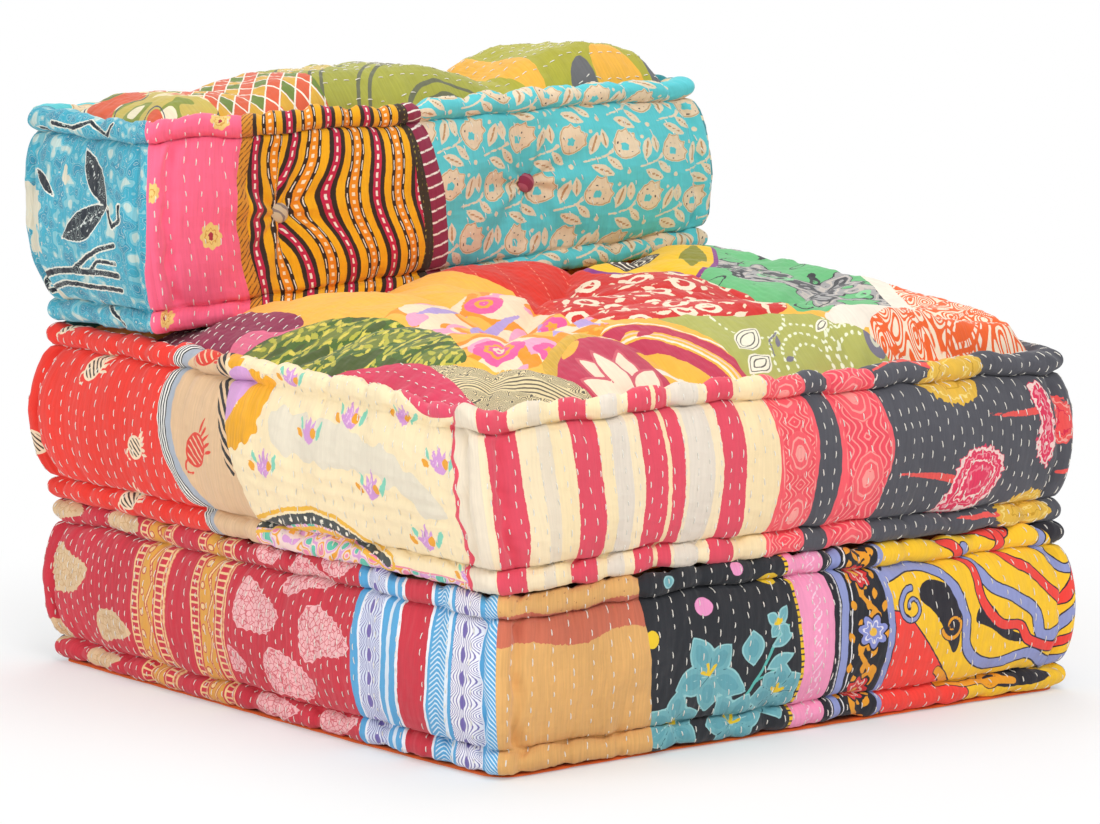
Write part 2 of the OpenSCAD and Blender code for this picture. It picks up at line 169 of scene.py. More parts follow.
def on_floor(p):
    """Places the base. Its front left corner moves 9 mm to the right and 7 mm forwards and sags by
    4 mm at the top, and its right end spreads by 7 mm at the foot."""
    corner = exp(-(hypot(p[..., 0] + 0.38, p[..., 1] + 0.4) / 0.14) ** 2)
    up = clip(p[..., 2] / 0.18, 0, 1)
    spread = 0.007 * exp(-((p[..., 0] - 0.38) / 0.09) ** 2) * (1 - up) ** 0.7
    return p + stack([0.009 * corner + spread, -0.007 * corner, -0.004 * corner * up], -1)


base = SimpleNamespace(name="base", body="base_cushion", width=0.76, depth=0.80, foot=0.0043,
    heights=(0.18, 0.18, 0.18, 0.18), wall=WALL, draw_in=0.0, place=on_floor)


def ease(e, run):
    """Sine of a quarter turn: 0 where e is 0 or less, and 1 where e is run or more."""
    return sin(pi / 2 * clip(e / run, 0, 1))


def pinches(x, spacing, reach, seed):
    """1 at each hand-set mattress stitch, falling off as a bell curve of width reach. The stitches
    lie spacing apart, give or take a third, from a seeded start."""
    rng = np.random.default_rng(seed)
    steps = spacing * rng.uniform(0.7, 1.35, 60)
    places = np.cumsum(steps) - 20 * spacing
    strength = rng.uniform(0.55, 1.0, 60)
    return sum(k * exp(-((x - p) / reach) ** 2) for p, k in zip(places, strength))


def tuft_pull(x, y, tufts, depth, seed, reach=0.15, pleats=9):
    """Depth of the hollows round tufts: depth * (1 - r / reach)^2, with pleats that radiate from
    each tuft as a cosine of the bearing, strongest 3 cm out and faint from 15 cm on."""
    hollow, folds = zeros(x.shape), zeros(x.shape)
    rng = np.random.default_rng(seed)
    for a, b in tufts:
        r, bearing = hypot(x - a, y - b), np.arctan2(y - b, x - a)
        hollow = maximum(hollow, depth * clip(1 - r / reach, 0, None) ** 2)
        waves = cos(pleats * bearing + rng.uniform(0, 6)) + 0.6 * cos(5 * bearing + rng.uniform(0, 6))
        folds += 0.0026 * waves * (r / 0.03) * exp(1 - r / 0.03)
    return hollow + folds


def round_corners(p, outer, radius, only=True):
    """Points of a rectangle with half sides outer, moved onto arcs at its corners: past an arc's
    centre the larger of their two distances becomes their slant."""
    q = abs(p) - outer + radius
    inside = ((q > 0).all(-1) & only)[..., None]
    shrink = q.max(-1) / maximum(hypot(q[..., 0], q[..., 1]), 1e-9)
    return where(inside, np.sign(p) * (outer - radius + q * shrink[..., None]), p)


def border_cloth(cushion, side, seed, step=0.25, tufts=(), pull=0.0, soft=None, arch=0.0):
    """Cloth of one border: 0 front, 1 right, 2 rear, 3 left. x runs from corner to corner and y up
    the section. For y under 0 it goes round the bottom roll, an arc of 180 degrees. Up to wall it
    swells as sin(pi t) ** 0.38 of the way up, and above that it goes round the top roll, 270
    degrees. The top edge rises by arch half way along, and over the stretch soft, in m along it,
    the top roll is slack and the wall creased lengthwise. The ends are mitred, rounded in plan, and
    set off by an upright groove."""
    half = (cushion.width if side % 2 == 0 else cushion.depth) / 2
    off = (cushion.depth if side % 2 == 0 else cushion.width) / 2
    h0, h1 = cushion.heights[side], cushion.heights[(side + 1) % 4]
    wall = cushion.wall
    fine, end = int(4.5 / 0.15), 100 * half
    x_line = concatenate([linspace(-end, 4.5 - end, fine + 1)[:-1], linspace(4.5 - end, end - 4.5,
        int(2 * (end - 4.5) / step) + 1), linspace(end - 4.5, end, fine + 1)[1:]])
    y_line = concatenate([linspace(-HEM, 0, int(HEM / 0.2) + 1)[:-1],
        linspace(0, wall, int(wall / step) + 1), linspace(wall, wall + BEAD, int(BEAD / 0.2) + 1)[1:]])
    s, y = np.meshgrid(x_line / end, y_line, indexing="ij")
    along = s * half
    calm = ease(1 - abs(s), 0.05)  # unevenness stops short of the mitred ends, which have to meet
    height = h0 + (h1 - h0) * (s + 1) / 2 + arch * sin(pi * (s + 1) / 2)
    tight_low = pinches(along, 0.055, 0.008, seed + 2) * calm
    tight_high = pinches(along, 0.052, 0.008, seed + 3) * calm
    lean = 0.0016 * ripple(along, 0, 0.1, 0.5, seed + 6) * calm
    lift_low = 0.0014 * ripple(along, 0, 0.05, 0.4, seed) * calm
    lift_high = (0.0018 * ripple(along, 0, 0.05, 0.4, seed + 1) - 0.0012 * tight_high) * calm
    # Rolls: arcs round a centre that the stitches pull down and in
    r_low = ROLL * (1 - 0.2 * tight_low + 0.06 * ripple(along, 0, 0.03, 0.2, seed + 4) * calm)
    r_high = ROLL * (1 - 0.24 * tight_high + 0.08 * ripple(along, 0, 0.03, 0.2, seed + 5) * calm)
    turn_low = np.radians(-270) - y / 100 / ROLL
    turn_high = np.radians(270) - (y - wall) / 100 / ROLL
    groove_low = ROLL + 0.0016 * tight_low + lean
    groove_high = ROLL + 0.0016 * tight_high + lean
    # Wall: swollen between the seams, with folds that start at them
    t = clip(y / wall, 0, 1)
    share = sin(pi * t) ** 0.38
    near = y < wall / 2
    from_seam = minimum(y, wall - y)
    folds = (0.0018 * ripple(along, 0.002 * y, 0.018, 0.07, seed + 8) * exp(-from_seam / 2.6)
        - 0.004 * where(near, tight_low, tight_high) * exp(-from_seam / 1.2)
        + 0.0022 * ripple(along, y / 100, 0.06, 0.3, seed + 9)) * calm
    groove = groove_low + (groove_high - groove_low) * t
    swell = SWELL * (0.55 + 0.45 * ease(1 - abs(s), 0.3))
    walled = groove - (groove + swell) * share - folds * share ** 0.4
    plain = where(y < 0, ROLL + ROLL * cos(turn_low), where(y > wall, ROLL + ROLL * cos(turn_high),
        ROLL - (ROLL + 0.55 * SWELL) * share))
    inset = where(y < 0, groove_low + r_low * cos(turn_low), where(y > wall,
        groove_high + r_high * cos(turn_high), walled))
    reach = half - plain
    place_x = s * reach
    edge = reach - abs(place_x)
    upright = pinches(y / 100, 0.045, 0.01, seed % 7 + 40)
    crease = (0.0055 + 0.004 * upright) * exp(-((edge - 0.0245 - 0.0016 * sin(y * 1.3)) / 0.0062) ** 2)
    crease = crease - 0.0016 * upright * exp(-((edge - 0.010) / 0.008) ** 2) * ease(edge - 0.001, 0.008)
    on_wall = (y > 0) & (y < wall)
    inset = inset + where(on_wall, crease * ease(from_seam, 0.8), 0)
    low, high = cushion.foot + 2 * ROLL + lift_low, height - 2 * ROLL + lift_high
    if len(tufts):
        levels = low + (high - low) * t
        at = [(q, interp(q, along[:, 0], (low + high)[:, 0] / 2)) for q in tufts]
        inset = inset + tuft_pull(place_x, levels, at, pull, seed + 11) * ease(from_seam, 2.0) * on_wall
    level = where(y < 0, low - ROLL + r_low * sin(turn_low) - (ROLL - r_low) * clip(1 + y / HEM, 0, 1),
        where(y > wall, high + ROLL + r_high * sin(turn_high) - 0.3 * (ROLL - r_high),
        low + (high - low) * t))
    level = maximum(level, cushion.foot)
    if soft:
        slack = ease(along - soft[0], 0.05) * ease(soft[1] - along, 0.03)
        kernel = np.hanning(17) / np.hanning(17).sum()
        top = ease(y - 6, 3) * ease(wall + BEAD - y, 2.5)
        for field in (inset, level):
            padded = np.pad(field, ((0, 0), (8, 8)), "edge")
            eased = sum(w * padded[:, k:k + field.shape[1]] for k, w in enumerate(kernel))
            field += (eased - field) * slack * 0.8 * top
        inset = inset + 0.0013 * sin(4.4 * y + 7 * along + 3 * sin(9 * along)) * slack * exp(
            -((y - 4.6) / 2.2) ** 2)
    p = stack([place_x, inset - off], -1)
    radius = 0.012 + 0.003 * clip(maximum(-y, y - wall) / 0.8, 0, 1)
    p = round_corners(p, stack([reach, off - plain], -1), radius[..., None], p[..., 1] < 0)
    px, py = [(p[..., 0], p[..., 1]), (-p[..., 1], p[..., 0]), (-p[..., 0], -p[..., 1]),
        (p[..., 1], -p[..., 0])][side]
    px = px * (1 - 2 * cushion.draw_in * level / (cushion.width * cushion.heights[0]))
    return SimpleNamespace(x=x_line, y=y_line, flip=False, points=cushion.place(stack([px, py, level], -1)))


def disc(x, y, a, b, r):
    """Distance outside a circle, less than 0 in it."""
    return hypot(x - a, y - b) - r


def bloom(x, y, a, b, r, petals=5, turn=0.0, cut=0.35):
    """A flower: a circle whose radius is r * (1 - cut + cut * |cos(petals * bearing / 2)|)."""
    bearing = np.arctan2(y - b, x - a) - turn
    return hypot(x - a, y - b) - r * (1 - cut + cut * abs(cos(petals * bearing / 2)))


def leaf(x, y, a, b, c, d, wide):
    """A leaf from (a, b) to (c, d): its half width is wide * sin(pi * share of the way)."""
    long = hypot(c - a, d - b)
    u = ((x - a) * (c - a) + (y - b) * (d - b)) / long
    v = abs((x - a) * (d - b) - (y - b) * (c - a)) / long
    body = v - wide * sin(pi * clip(u / long, 0, 1))
    return maximum(body, maximum(-u, u - long) * 0.8)


def stroke(x, y, points, wide, end=None):
    """A line of half width wide, or from wide to end, through the points."""
    points = array(points, float)
    widths = linspace(wide, wide if end is None else end, len(points))
    gap = full(np.broadcast(x, y).shape, 99.0)
    for (a, b), (c, d), w0, w1 in zip(points[:-1], points[1:], widths[:-1], widths[1:]):
        t = clip(((x - a) * (c - a) + (y - b) * (d - b)) / ((c - a) ** 2 + (d - b) ** 2), 0, 1)
        gap = minimum(gap, hypot(x - a - t * (c - a), y - b - t * (d - b)) - w0 - t * (w1 - w0))
    return gap


def curve(points, steps=7):
    """A smooth line through the points: cubic runs whose slopes follow the neighbours."""
    p = array(points, float)
    p = concatenate([[2 * p[0] - p[1]], p, [2 * p[-1] - p[-2]]])
    t = (arange(steps) / steps)[:, None]
    runs = [0.5 * (2 * b + (c - a) * t + (2 * a - 5 * b + 4 * c - d) * t ** 2
        + (3 * b - a - 3 * c + d) * t ** 3) for a, b, c, d in zip(p, p[1:], p[2:], p[3:])]
    return concatenate(runs + [p[-2:-1]])


def curl(a, b, r, start, turns, steps=26):
    """A spiral round (a, b), r wide where it starts and closing to a quarter of that."""
    t = linspace(0, 1, steps)
    bearing = start + 2 * pi * turns * t
    return stack([a + r * (1 - 0.75 * t) * cos(bearing), b + r * (1 - 0.75 * t) * sin(bearing)], 1)


def rounded(points, times=2):
    """A closed outline with its corners cut at a quarter of each side, times over."""
    points = array(points, float)
    for _ in range(times):
        ahead = np.roll(points, -1, 0)
        points = stack([0.75 * points + 0.25 * ahead, 0.25 * points + 0.75 * ahead], 1).reshape(-1, 2)
    return points


def shape(x, y, points, times=2):
    """Distance outside a closed, corner-cut outline, less than 0 in it."""
    points = rounded(points, times)
    gap, inside = full(np.broadcast(x, y).shape, 99.0), zeros(np.broadcast(x, y).shape, bool)
    for (a, b), (c, d) in zip(points, np.roll(points, -1, 0)):
        t = clip(((x - a) * (c - a) + (y - b) * (d - b)) / ((c - a) ** 2 + (d - b) ** 2), 0, 1)
        gap = minimum(gap, hypot(x - a - t * (c - a), y - b - t * (d - b)))
        if b != d:
            inside ^= ((b > y) != (d > y)) & (x < a + (y - b) * (c - a) / (d - b))
    return where(inside, -gap, gap)


def union(*gaps):
    """Distance outside the nearest of several shapes."""
    return minimum.reduce(gaps)


def many(draw, x, y, *rows):
    """Distance outside the nearest of several shapes of one kind, a row of measures each."""
    return union(*[draw(x, y, *row) for row in rows])


def bowed(y, wall, places):
    """Where a curved seam runs: its places at even steps from below the bottom roll to the top roll,
    joined by a smooth line."""
    knots = linspace(-2, wall + 4, len(places))
    fine = linspace(-5, wall + 7, 240)
    line = np.convolve(np.pad(interp(fine, knots, places), 40, "edge"), np.hanning(81), "same")
    return interp(y, fine, line[40:-40] / np.hanning(81).sum())


def strip(wall, left, right=(99, 99)):
    """Edge of a patch from one seam, given as bowed() takes it, to another or else to the end."""
    return lambda x, y: maximum(bowed(y, wall, left) - x, x - bowed(y, wall, right))


def printed_cotton(name, ground, layers=(), ramp=None, combs=(), ragged=0.02, mottle=0.1):
    """Plain-woven, dyed and block-printed cotton, washed soft: rough, with a faint sheen.
    layers are (channel, colour[, limits[, lace, thin]]): ink where that channel of the print is
    under 0 cm, under one limit or between two, broken into a net of lines lace cm apart and of half
    width thin. combs are (channel, pitch, half, colour, within[, start]): lines where a channel
    passes start plus a multiple of pitch while channel within is under 0. ramp is (channel, [(cm,
    colour), ...]): bands from those places on. The real threads are 0.4 mm apart, drawn at 1.2 mm
    to show."""
    material, tree, out = new_material(name)
    cloth = add(tree, "ShaderNodeUVMap", uv_map="cloth").outputs[0]
    place = add(tree, "ShaderNodeTexCoord").outputs["Object"]
    cuts = []
    for attribute in ("ink", "dye"):
        split = add(tree, "ShaderNodeSeparateXYZ", {0: add(tree, "ShaderNodeAttribute",
            attribute_name=attribute).outputs["Vector"]})
        cuts += list(split.outputs)
    fray = add(tree, "ShaderNodeTexNoise", {"Vector": cloth, "Scale": 260.0, "Detail": 3.0}).outputs[0]
    fray = add(tree, "ShaderNodeMapRange", {0: fray, 1: 0.25, 2: 0.75, 3: -ragged, 4: ragged}).outputs[0]

    def math(operation, *values):
        """Output of a maths node."""
        return add(tree, "ShaderNodeMath", dict(enumerate(values)), operation=operation).outputs[0]

    def under(value, limit, soft=0.02):
        """1 where a value is under a limit and 0 where it is over it."""
        return add(tree, "ShaderNodeMapRange", {0: value, 1: limit - soft, 2: limit + soft, 3: 1.0,
            4: 0.0}).outputs[0]

    if ramp:
        first, last = ramp[1][0][0], ramp[1][-1][0]
        field = add(tree, "ShaderNodeMapRange", {0: math("ADD", cuts[ramp[0]], fray), 1: first, 2: last})
        bands = add(tree, "ShaderNodeValToRGB", {0: field.outputs[0]})
        bands.color_ramp.interpolation = "CONSTANT"
        held = bands.color_ramp.elements
        held.remove(held[0])
        held[0].position, held[0].color = 0.0, linear(ramp[1][0][1])
        for cm, dye in ramp[1][1:-1]:
            held.new(min((cm - first) / (last - first), 1.0)).color = linear(dye)
    else:
        bands = add(tree, "ShaderNodeRGB")
        bands.outputs[0].default_value = linear(ground)
    prints = []
    for channel, ink, *limits in layers:
        low, high, *lace = limits if len(limits) > 1 else (-99, *limits, 0)[:2]
        value = math("ADD", cuts[channel], fray)
        mask = under(value, high)
        if low > -50:
            above = add(tree, "ShaderNodeMapRange", {0: value, 1: low - 0.02, 2: low + 0.02}).outputs[0]
            mask = math("MULTIPLY", mask, above)
        if lace:
            net = add(tree, "ShaderNodeTexVoronoi", {"Vector": cloth, "Scale": 100 / lace[0]},
                feature="DISTANCE_TO_EDGE").outputs[0]
            mask = math("MULTIPLY", mask, under(net, (*lace, 0.13)[1], 0.03))
        prints.append((mask, ink))
    for channel, pitch, half, ink, within, *start in combs:
        value = math("ADD", cuts[channel], fray)
        if start:
            value = math("ADD", value, -start[0])
        value = math("PINGPONG", value, pitch / 2)
        prints.append((math("MULTIPLY", under(value, half), under(cuts[within], 0)), ink))
    colour = bands.outputs[0]
    for mask, ink in prints:
        colour = add(tree, "ShaderNodeMix", {0: mask, 6: colour, 7: linear(ink)},
            data_type="RGBA").outputs[2]
    # Uneven dye, and slubs that run with the warp
    uneven = add(tree, "ShaderNodeTexNoise", {"Vector": place, "Scale": 11.0, "Detail": 4.0}).outputs[0]
    warp = add(tree, "ShaderNodeVectorMath", {0: cloth, 1: (420.0, 22.0, 0.0)}, operation="MULTIPLY")
    slub = add(tree, "ShaderNodeTexNoise", {"Vector": warp.outputs[0], "Scale": 1.0}).outputs[0]
    tone = add(tree, "ShaderNodeMapRange", {0: math("ADD", uneven, slub), 1: 0.7, 2: 1.3, 3: 1 - mottle,
        4: 1 + 0.6 * mottle}).outputs[0]
    colour = add(tree, "ShaderNodeVectorMath", {0: colour, "Scale": tone}, operation="SCALE").outputs[0]
    threads = [add(tree, "ShaderNodeTexWave", {"Vector": cloth, "Scale": 1 / 0.0012 / 20},
        bands_direction=way, wave_profile="SIN").outputs[1] for way in "XY"]
    height = math("MULTIPLY_ADD", slub, 3.0, math("ADD", *threads))
    surface(tree, out, colour, height, 0.00016, {"Roughness": 0.88, "Specular IOR Level": 0.3,
        "Sheen Weight": 0.18, "Sheen Roughness": 0.5}, 0.7)
    return material


def blend_at(grid, i, j):
    """Values of a grid at fractional places i and j, from the four neighbours."""
    i, j = clip(i, 0, grid.shape[0] - 1.001), clip(j, 0, grid.shape[1] - 1.001)
    a, b = i.astype(int), j.astype(int)
    u, v = (i - a)[..., None], (j - b)[..., None]
    return ((grid[a, b] * (1 - u) + grid[a + 1, b] * u) * (1 - v) + (grid[a, b + 1] * (1 - u)
        + grid[a + 1, b + 1] * u) * v)


def grid_places(cloth, x, y):
    """Fractional rows and columns of a cloth's grid at x and y."""
    return [interp(v, line, arange(len(line))) for v, line in ((x, cloth.x), (y, cloth.y))]


def normals(points, flip):
    """Unit normals of a grid: the cross product of its two slopes."""
    across = np.cross(np.gradient(points, axis=0), np.gradient(points, axis=1))
    return across / maximum(np.linalg.norm(across, axis=-1, keepdims=True), 1e-12) * (-1 if flip else 1)


def quads_of(index):
    """Faces with four corners between the rows and columns of a grid of point numbers."""
    return stack([index[:-1, :-1], index[1:, :-1], index[1:, 1:], index[:-1, 1:]], -1).reshape(-1, 4)


def mesh_of(name, points, faces):
    """A smooth mesh of points and of faces with four corners each."""
    made = bpy.data.meshes.new(name)
    made.vertices.add(len(points))
    made.vertices.foreach_set("co", points.astype(np.float32).ravel())
    made.loops.add(faces.size)
    made.loops.foreach_set("vertex_index", faces.astype(np.int32).ravel())
    made.polygons.add(len(faces))
    made.polygons.foreach_set("loop_start", arange(0, faces.size, 4, dtype=np.int32))
    made.update(calc_edges=True)
    made.polygons.foreach_set("use_smooth", np.ones(len(faces), bool))
    return made


def patch(name, ground, edge=None, ink=None, rows=None, **print_):
    """One patch of cloth: edge(x, y) is less than 0 in it, ink(x, y) gives its print, up to six
    arrays, and rows is (spacing, pitch[, across[, lean]]) of its running stitches, in cm."""
    return SimpleNamespace(name=name, ground=ground, edge=edge, ink=ink, rows=rows, print=print_)


def stitched(name, cloth, patches, own, seed):
    """Running stitches along rows, 7 mm of cotton thread on the face and 7 mm behind. Each is a
    lozenge-section loop, lifted as 1 - t^2 between the holes where it dives into the cloth."""
    rng = np.random.default_rng(seed)
    x0, x1, y0, y1 = cloth.x[0], cloth.x[-1], cloth.y[0], cloth.y[-1]
    centres = []
    for k, p in enumerate(patches):
        if not p.rows:
            continue
        spacing, pitch, across, lean = (*p.rows, False, False)[:4]
        lines = arange((y0 if across else x0) + spacing / 2, y1 if across else x1, spacing)
        steps = arange(x0 if across else y0, x1 if across else y1, pitch)
        a, b = np.meshgrid(lines, steps, indexing="ij")
        a = a + rng.normal(0, 0.05, a.shape) + 0.25 * ripple(lines[:, None], b, 6, 20, seed + k, 5)
        b = b + rng.uniform(0, pitch, (len(lines), 1)) + rng.normal(0, 0.07, b.shape)
        x, y = (b, a) if across else (a, b)
        x = x + lean(y) if lean else x
        i, j = (np.floor(v).astype(int) for v in grid_places(cloth, x, y))
        keep = ((own[i.clip(0, len(cloth.x) - 2), j.clip(0, len(cloth.y) - 2)] == k)
            & (rng.random(x.shape) > 0.04) & (x > x0 + 0.6) & (x < x1 - 0.6) & (y > y0 + 0.8)
            & (y < y1 - 1.2))
        long = clip(rng.normal(0.33, 0.05, x.shape), 0.2, 0.45)
        tilt = rng.normal(0 if across else pi / 2, 0.09, x.shape)
        if lean:
            tilt = tilt - np.arctan(lean(y + 0.3) - lean(y - 0.3))
        centres.append(stack([x, y, long, tilt], -1)[keep])
    if not centres:
        return None
    x, y, long, tilt = concatenate(centres).T
    t = array([-1.0, -0.55, 0.55, 1.0])
    lift = array([-0.0003, 0.00045, 0.00045, -0.0003])
    wide = array([0.00035, 0.00068, 0.00068, 0.00035])
    tall = array([0.0003, 0.0005, 0.0005, 0.0003])
    sx = x[:, None] + long[:, None] * cos(tilt)[:, None] * t
    sy = y[:, None] + long[:, None] * sin(tilt)[:, None] * t
    i, j = grid_places(cloth, sx, sy)
    mid = blend_at(cloth.points, i, j)
    up = blend_at(cloth.normals, i, j)
    ahead = mid[:, -1:] - mid[:, :1]
    beside = np.cross(ahead, up)
    beside /= maximum(np.linalg.norm(beside, axis=-1, keepdims=True), 1e-9)
    mid = mid + up * lift[:, None]
    ring = stack([mid + beside * wide[:, None], mid + up * tall[:, None], mid - beside * wide[:, None],
        mid - up * tall[:, None]], 2)
    n = len(x)
    start = arange(n)[:, None, None] * 16
    step = arange(3)[None, :, None] * 4
    k = arange(4)[None, None, :]
    sides = stack([start + step + k, start + step + (k + 1) % 4, start + step + 4 + (k + 1) % 4,
        start + step + 4 + k], -1).reshape(-1, 4)
    caps = concatenate([start[:, 0] + [3, 2, 1, 0], start[:, 0] + [12, 13, 14, 15]])
    return mesh_of(name, ring.reshape(-1, 3), concatenate([sides, caps])[:, ::-1])


def thread_material(name, colour):
    """Mercerised cotton thread: matt with a slight gloss, its two plies drawn as slanting raised bands, with
    painted shade in the grooves between them.
    """
    material, tree, out = new_material(name)
    place = add(tree, "ShaderNodeTexCoord").outputs["Object"]
    plies = add(tree, "ShaderNodeTexWave", {"Vector": place, "Scale": 90.0},
        bands_direction="DIAGONAL").outputs[1]
    # Painted shade: where the ply relief is low, in the grooves between plies, the colour is darkened to
    # 0.82
    shade = add(tree, "ShaderNodeMapRange", {0: plies, 3: 0.82, 4: 1.0}).outputs[0]
    tone = add(tree, "ShaderNodeVectorMath", {0: linear(colour)[:3], "Scale": shade},
        operation="SCALE").outputs[0]
    surface(tree, out, tone, plies, 0.0002, {"Roughness": 0.6, "Sheen Weight": 0.2})
    return material


white_thread = thread_material("white_cotton_thread", "#F6F1E6")


def make_up(node, cushion, cloth, patches, seed):
    """Cuts a grid of cloth into patches and sews them. A face belongs to the last patch that holds
    its middle, and grid corners beside a seam move onto it. The cloth sinks 0.9 mm at each seam and
    ripples between stitches. Prints go into corner attributes ink and dye."""
    x, y = np.meshgrid(cloth.x, cloth.y, indexing="ij")
    mx, my = ((v[:-1, :-1] + v[1:, :-1] + v[:-1, 1:] + v[1:, 1:]) / 4 for v in (x, y))
    own = zeros(mx.shape, int)
    gaps = [full(x.shape, -99.0)]
    for k, p in enumerate(patches[1:], 1):
        own[p.edge(mx, my) < 0] = k
        gaps.append(p.edge(x, y))
    around = np.pad(own, 1, "edge")
    corners = stack([around[:-1, :-1], around[1:, :-1], around[:-1, 1:], around[1:, 1:]])
    top, beside = corners.max(0), corners.min(0)
    seam = full(x.shape, 9.0)
    covered = zeros(x.shape, bool)
    for k in range(len(patches) - 1, 0, -1):
        seam = where(covered, seam, minimum(seam, abs(gaps[k])))
        covered |= gaps[k] < -0.3
        gx, gy = np.gradient(gaps[k], cloth.x, cloth.y)
        steep = maximum(gx ** 2 + gy ** 2, 0.2)
        move = (top == k) & (beside < k)
        x = where(move, x - gaps[k] * gx / steep, x)
        y = where(move, y - gaps[k] * gy / steep, y)
    i, j = grid_places(cloth, x, y)
    i[0], i[-1], j[:, 0], j[:, -1] = 0, len(cloth.x) - 1, 0, len(cloth.y) - 1
    cloth.points = blend_at(cloth.points, i, j)
    cloth.normals = normals(cloth.points, cloth.flip)
    quilt = 0.0004 * ripple(x, y, 0.9, 2.6, seed + 60, 8)
    rim = ease(minimum(cloth.x - cloth.x[0], cloth.x[-1] - cloth.x)[:, None], 1.5)
    sink = (0.0009 * exp(-(seam / 0.28) ** 2) - quilt) * rim
    cloth.points = cloth.points - cloth.normals * sink[..., None]
    cloth.normals = normals(cloth.points, cloth.flip)
    quads = quads_of(arange(x.size).reshape(x.shape))
    if cloth.flip:
        quads = quads[:, ::-1]
    made = mesh_of(node, cloth.points.reshape(-1, 3), quads)
    ink = full((len(quads), 4, 6), 9.0, np.float32)
    owner = own.ravel()
    for k, p in enumerate(patches):
        if p.ink is not None:
            fields = p.ink(x, y)
            fields = [fields] if isinstance(fields, np.ndarray) else fields
            fields = stack([np.broadcast_to(f, x.shape).ravel() for f in fields], -1)
            ink[owner == k, :, :fields.shape[1]] = fields[quads[owner == k]]
        made.materials.append(printed_cotton(p.name, p.ground, **p.print))
    made.polygons.foreach_set("material_index", owner.astype(np.int32))
    for name, part in (("ink", ink[..., :3]), ("dye", ink[..., 3:])):
        made.attributes.new(name, "FLOAT_VECTOR", "CORNER").data.foreach_set("vector",
            np.ascontiguousarray(part).ravel())
    flat = stack([x.ravel(), y.ravel()], -1)[quads] / 100
    made.uv_layers.new(name="cloth").uv.foreach_set("vector", flat.astype(np.float32).ravel())
    piece = show(node, made)
    piece.name = node + "_cover"
    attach(piece, cushion.body)
    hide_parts(node)
    sewn = stitched(node + "_stitches", cloth, patches, own, seed)
    if sewn:
        sewn.materials.append(white_thread)
        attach(show(node + "_stitches", sewn), cushion.body)
    return piece


def vine(x, y, middle, sway, pitch):
    """A scrolling vine up a border: a sine wave with curled side shoots. Returns its distance."""
    t = linspace(-5, 20, 100)
    gap = stroke(x, y, stack([middle + sway * sin(2 * pi * t / pitch), t], 1), 0.26)
    for k in range(-2, int(20 / pitch * 2) + 2):
        side, b = (1 if k % 2 else -1), (k + 0.5) * pitch / 2
        turn = linspace(0, 4.4, 14)
        r = 0.85 * exp(-0.22 * turn)
        gap = minimum(gap, stroke(x, y, stack([middle - side * (0.9 - r * cos(turn)) * 0.9,
            b + r * sin(turn)], 1), 0.24, 0.14))
    return gap


def scattered(x, y, box, spacing, seed, draw):
    """The nearest of many motifs, draw(x, y, a, b, rng), on a loose net that fills a box."""
    rng = np.random.default_rng(seed)
    gap = full(x.shape, 99.0)
    rows = arange(box[2], box[3], spacing * 0.87)
    for k, b in enumerate(rows):
        for a in arange(box[0] + (k % 2) * spacing / 2, box[1], spacing):
            a1, b1 = a + rng.normal(0, 0.12) * spacing, b + rng.normal(0, 0.12) * spacing
            gap = minimum(gap, draw(x, y, a1, b1, rng))
    return gap


def scatter_of(kind, box, spacing, seed, size, n=5):
    """An ink of scattered dots, rings, leaves, flowers or blossoms, which differ in size too."""
    def one(x, y, a, b, g):
        """One motif round (a, b)."""
        if kind == "dot":
            return disc(x, y, a, b, size)
        if kind == "ring":
            return abs(disc(x, y, a, b, size)) - 0.3 * size
        if kind == "leaf":
            turn = g.uniform(0, 6.3)
            u, v = size * cos(turn), size * sin(turn)
            return leaf(x, y, a - u, b - v, a + u, b + v, 0.36 * size)
        if kind == "flower":
            return bloom(x, y, a, b, size, n, g.uniform(0, 3))
        return bloom(x, y, a, b, size * g.uniform(0.8, 1.15), n, g.uniform(0, 3), 0.4)
    return lambda x, y: scattered(x, y, box, spacing, seed, one)


def bars(x, pitch, half):
    """Distance outside bars of half width half, a pitch apart, the first half a pitch from 0."""
    return abs(mod(x, pitch) - pitch / 2) - half


def lily(x, y, a, b, r, turn, n=5, wide=0.35):
    """A pointed flower of n leaf-shaped petals. Returns its distance, that of the lines where its
    petals overlap, that of its veins, and that of its stamens."""
    bearings = turn + 2 * pi * arange(n) / n
    lengths = r * (1 + 0.16 * cos(3 * bearings + a))
    tips = stack([a + lengths * cos(bearings), b + lengths * sin(bearings)], 1)
    held = np.sort([leaf(x, y, a, b, c, d, wide * r) for c, d in tips], 0)
    veins = union(*[stroke(x, y, [(a, b), (0.3 * a + 0.7 * c, 0.3 * b + 0.7 * d)], 0.09, 0.02)
        for c, d in tips])
    stamens = union(*[stroke(x, y, [(a, b), (a + 0.26 * r * cos(t), b + 0.26 * r * sin(t))], 0.13, 0.2)
        for t in turn + arange(3)])
    return held[0], maximum(held[1] - held[0] - 0.13, held[1] - 0.05), veins, stamens


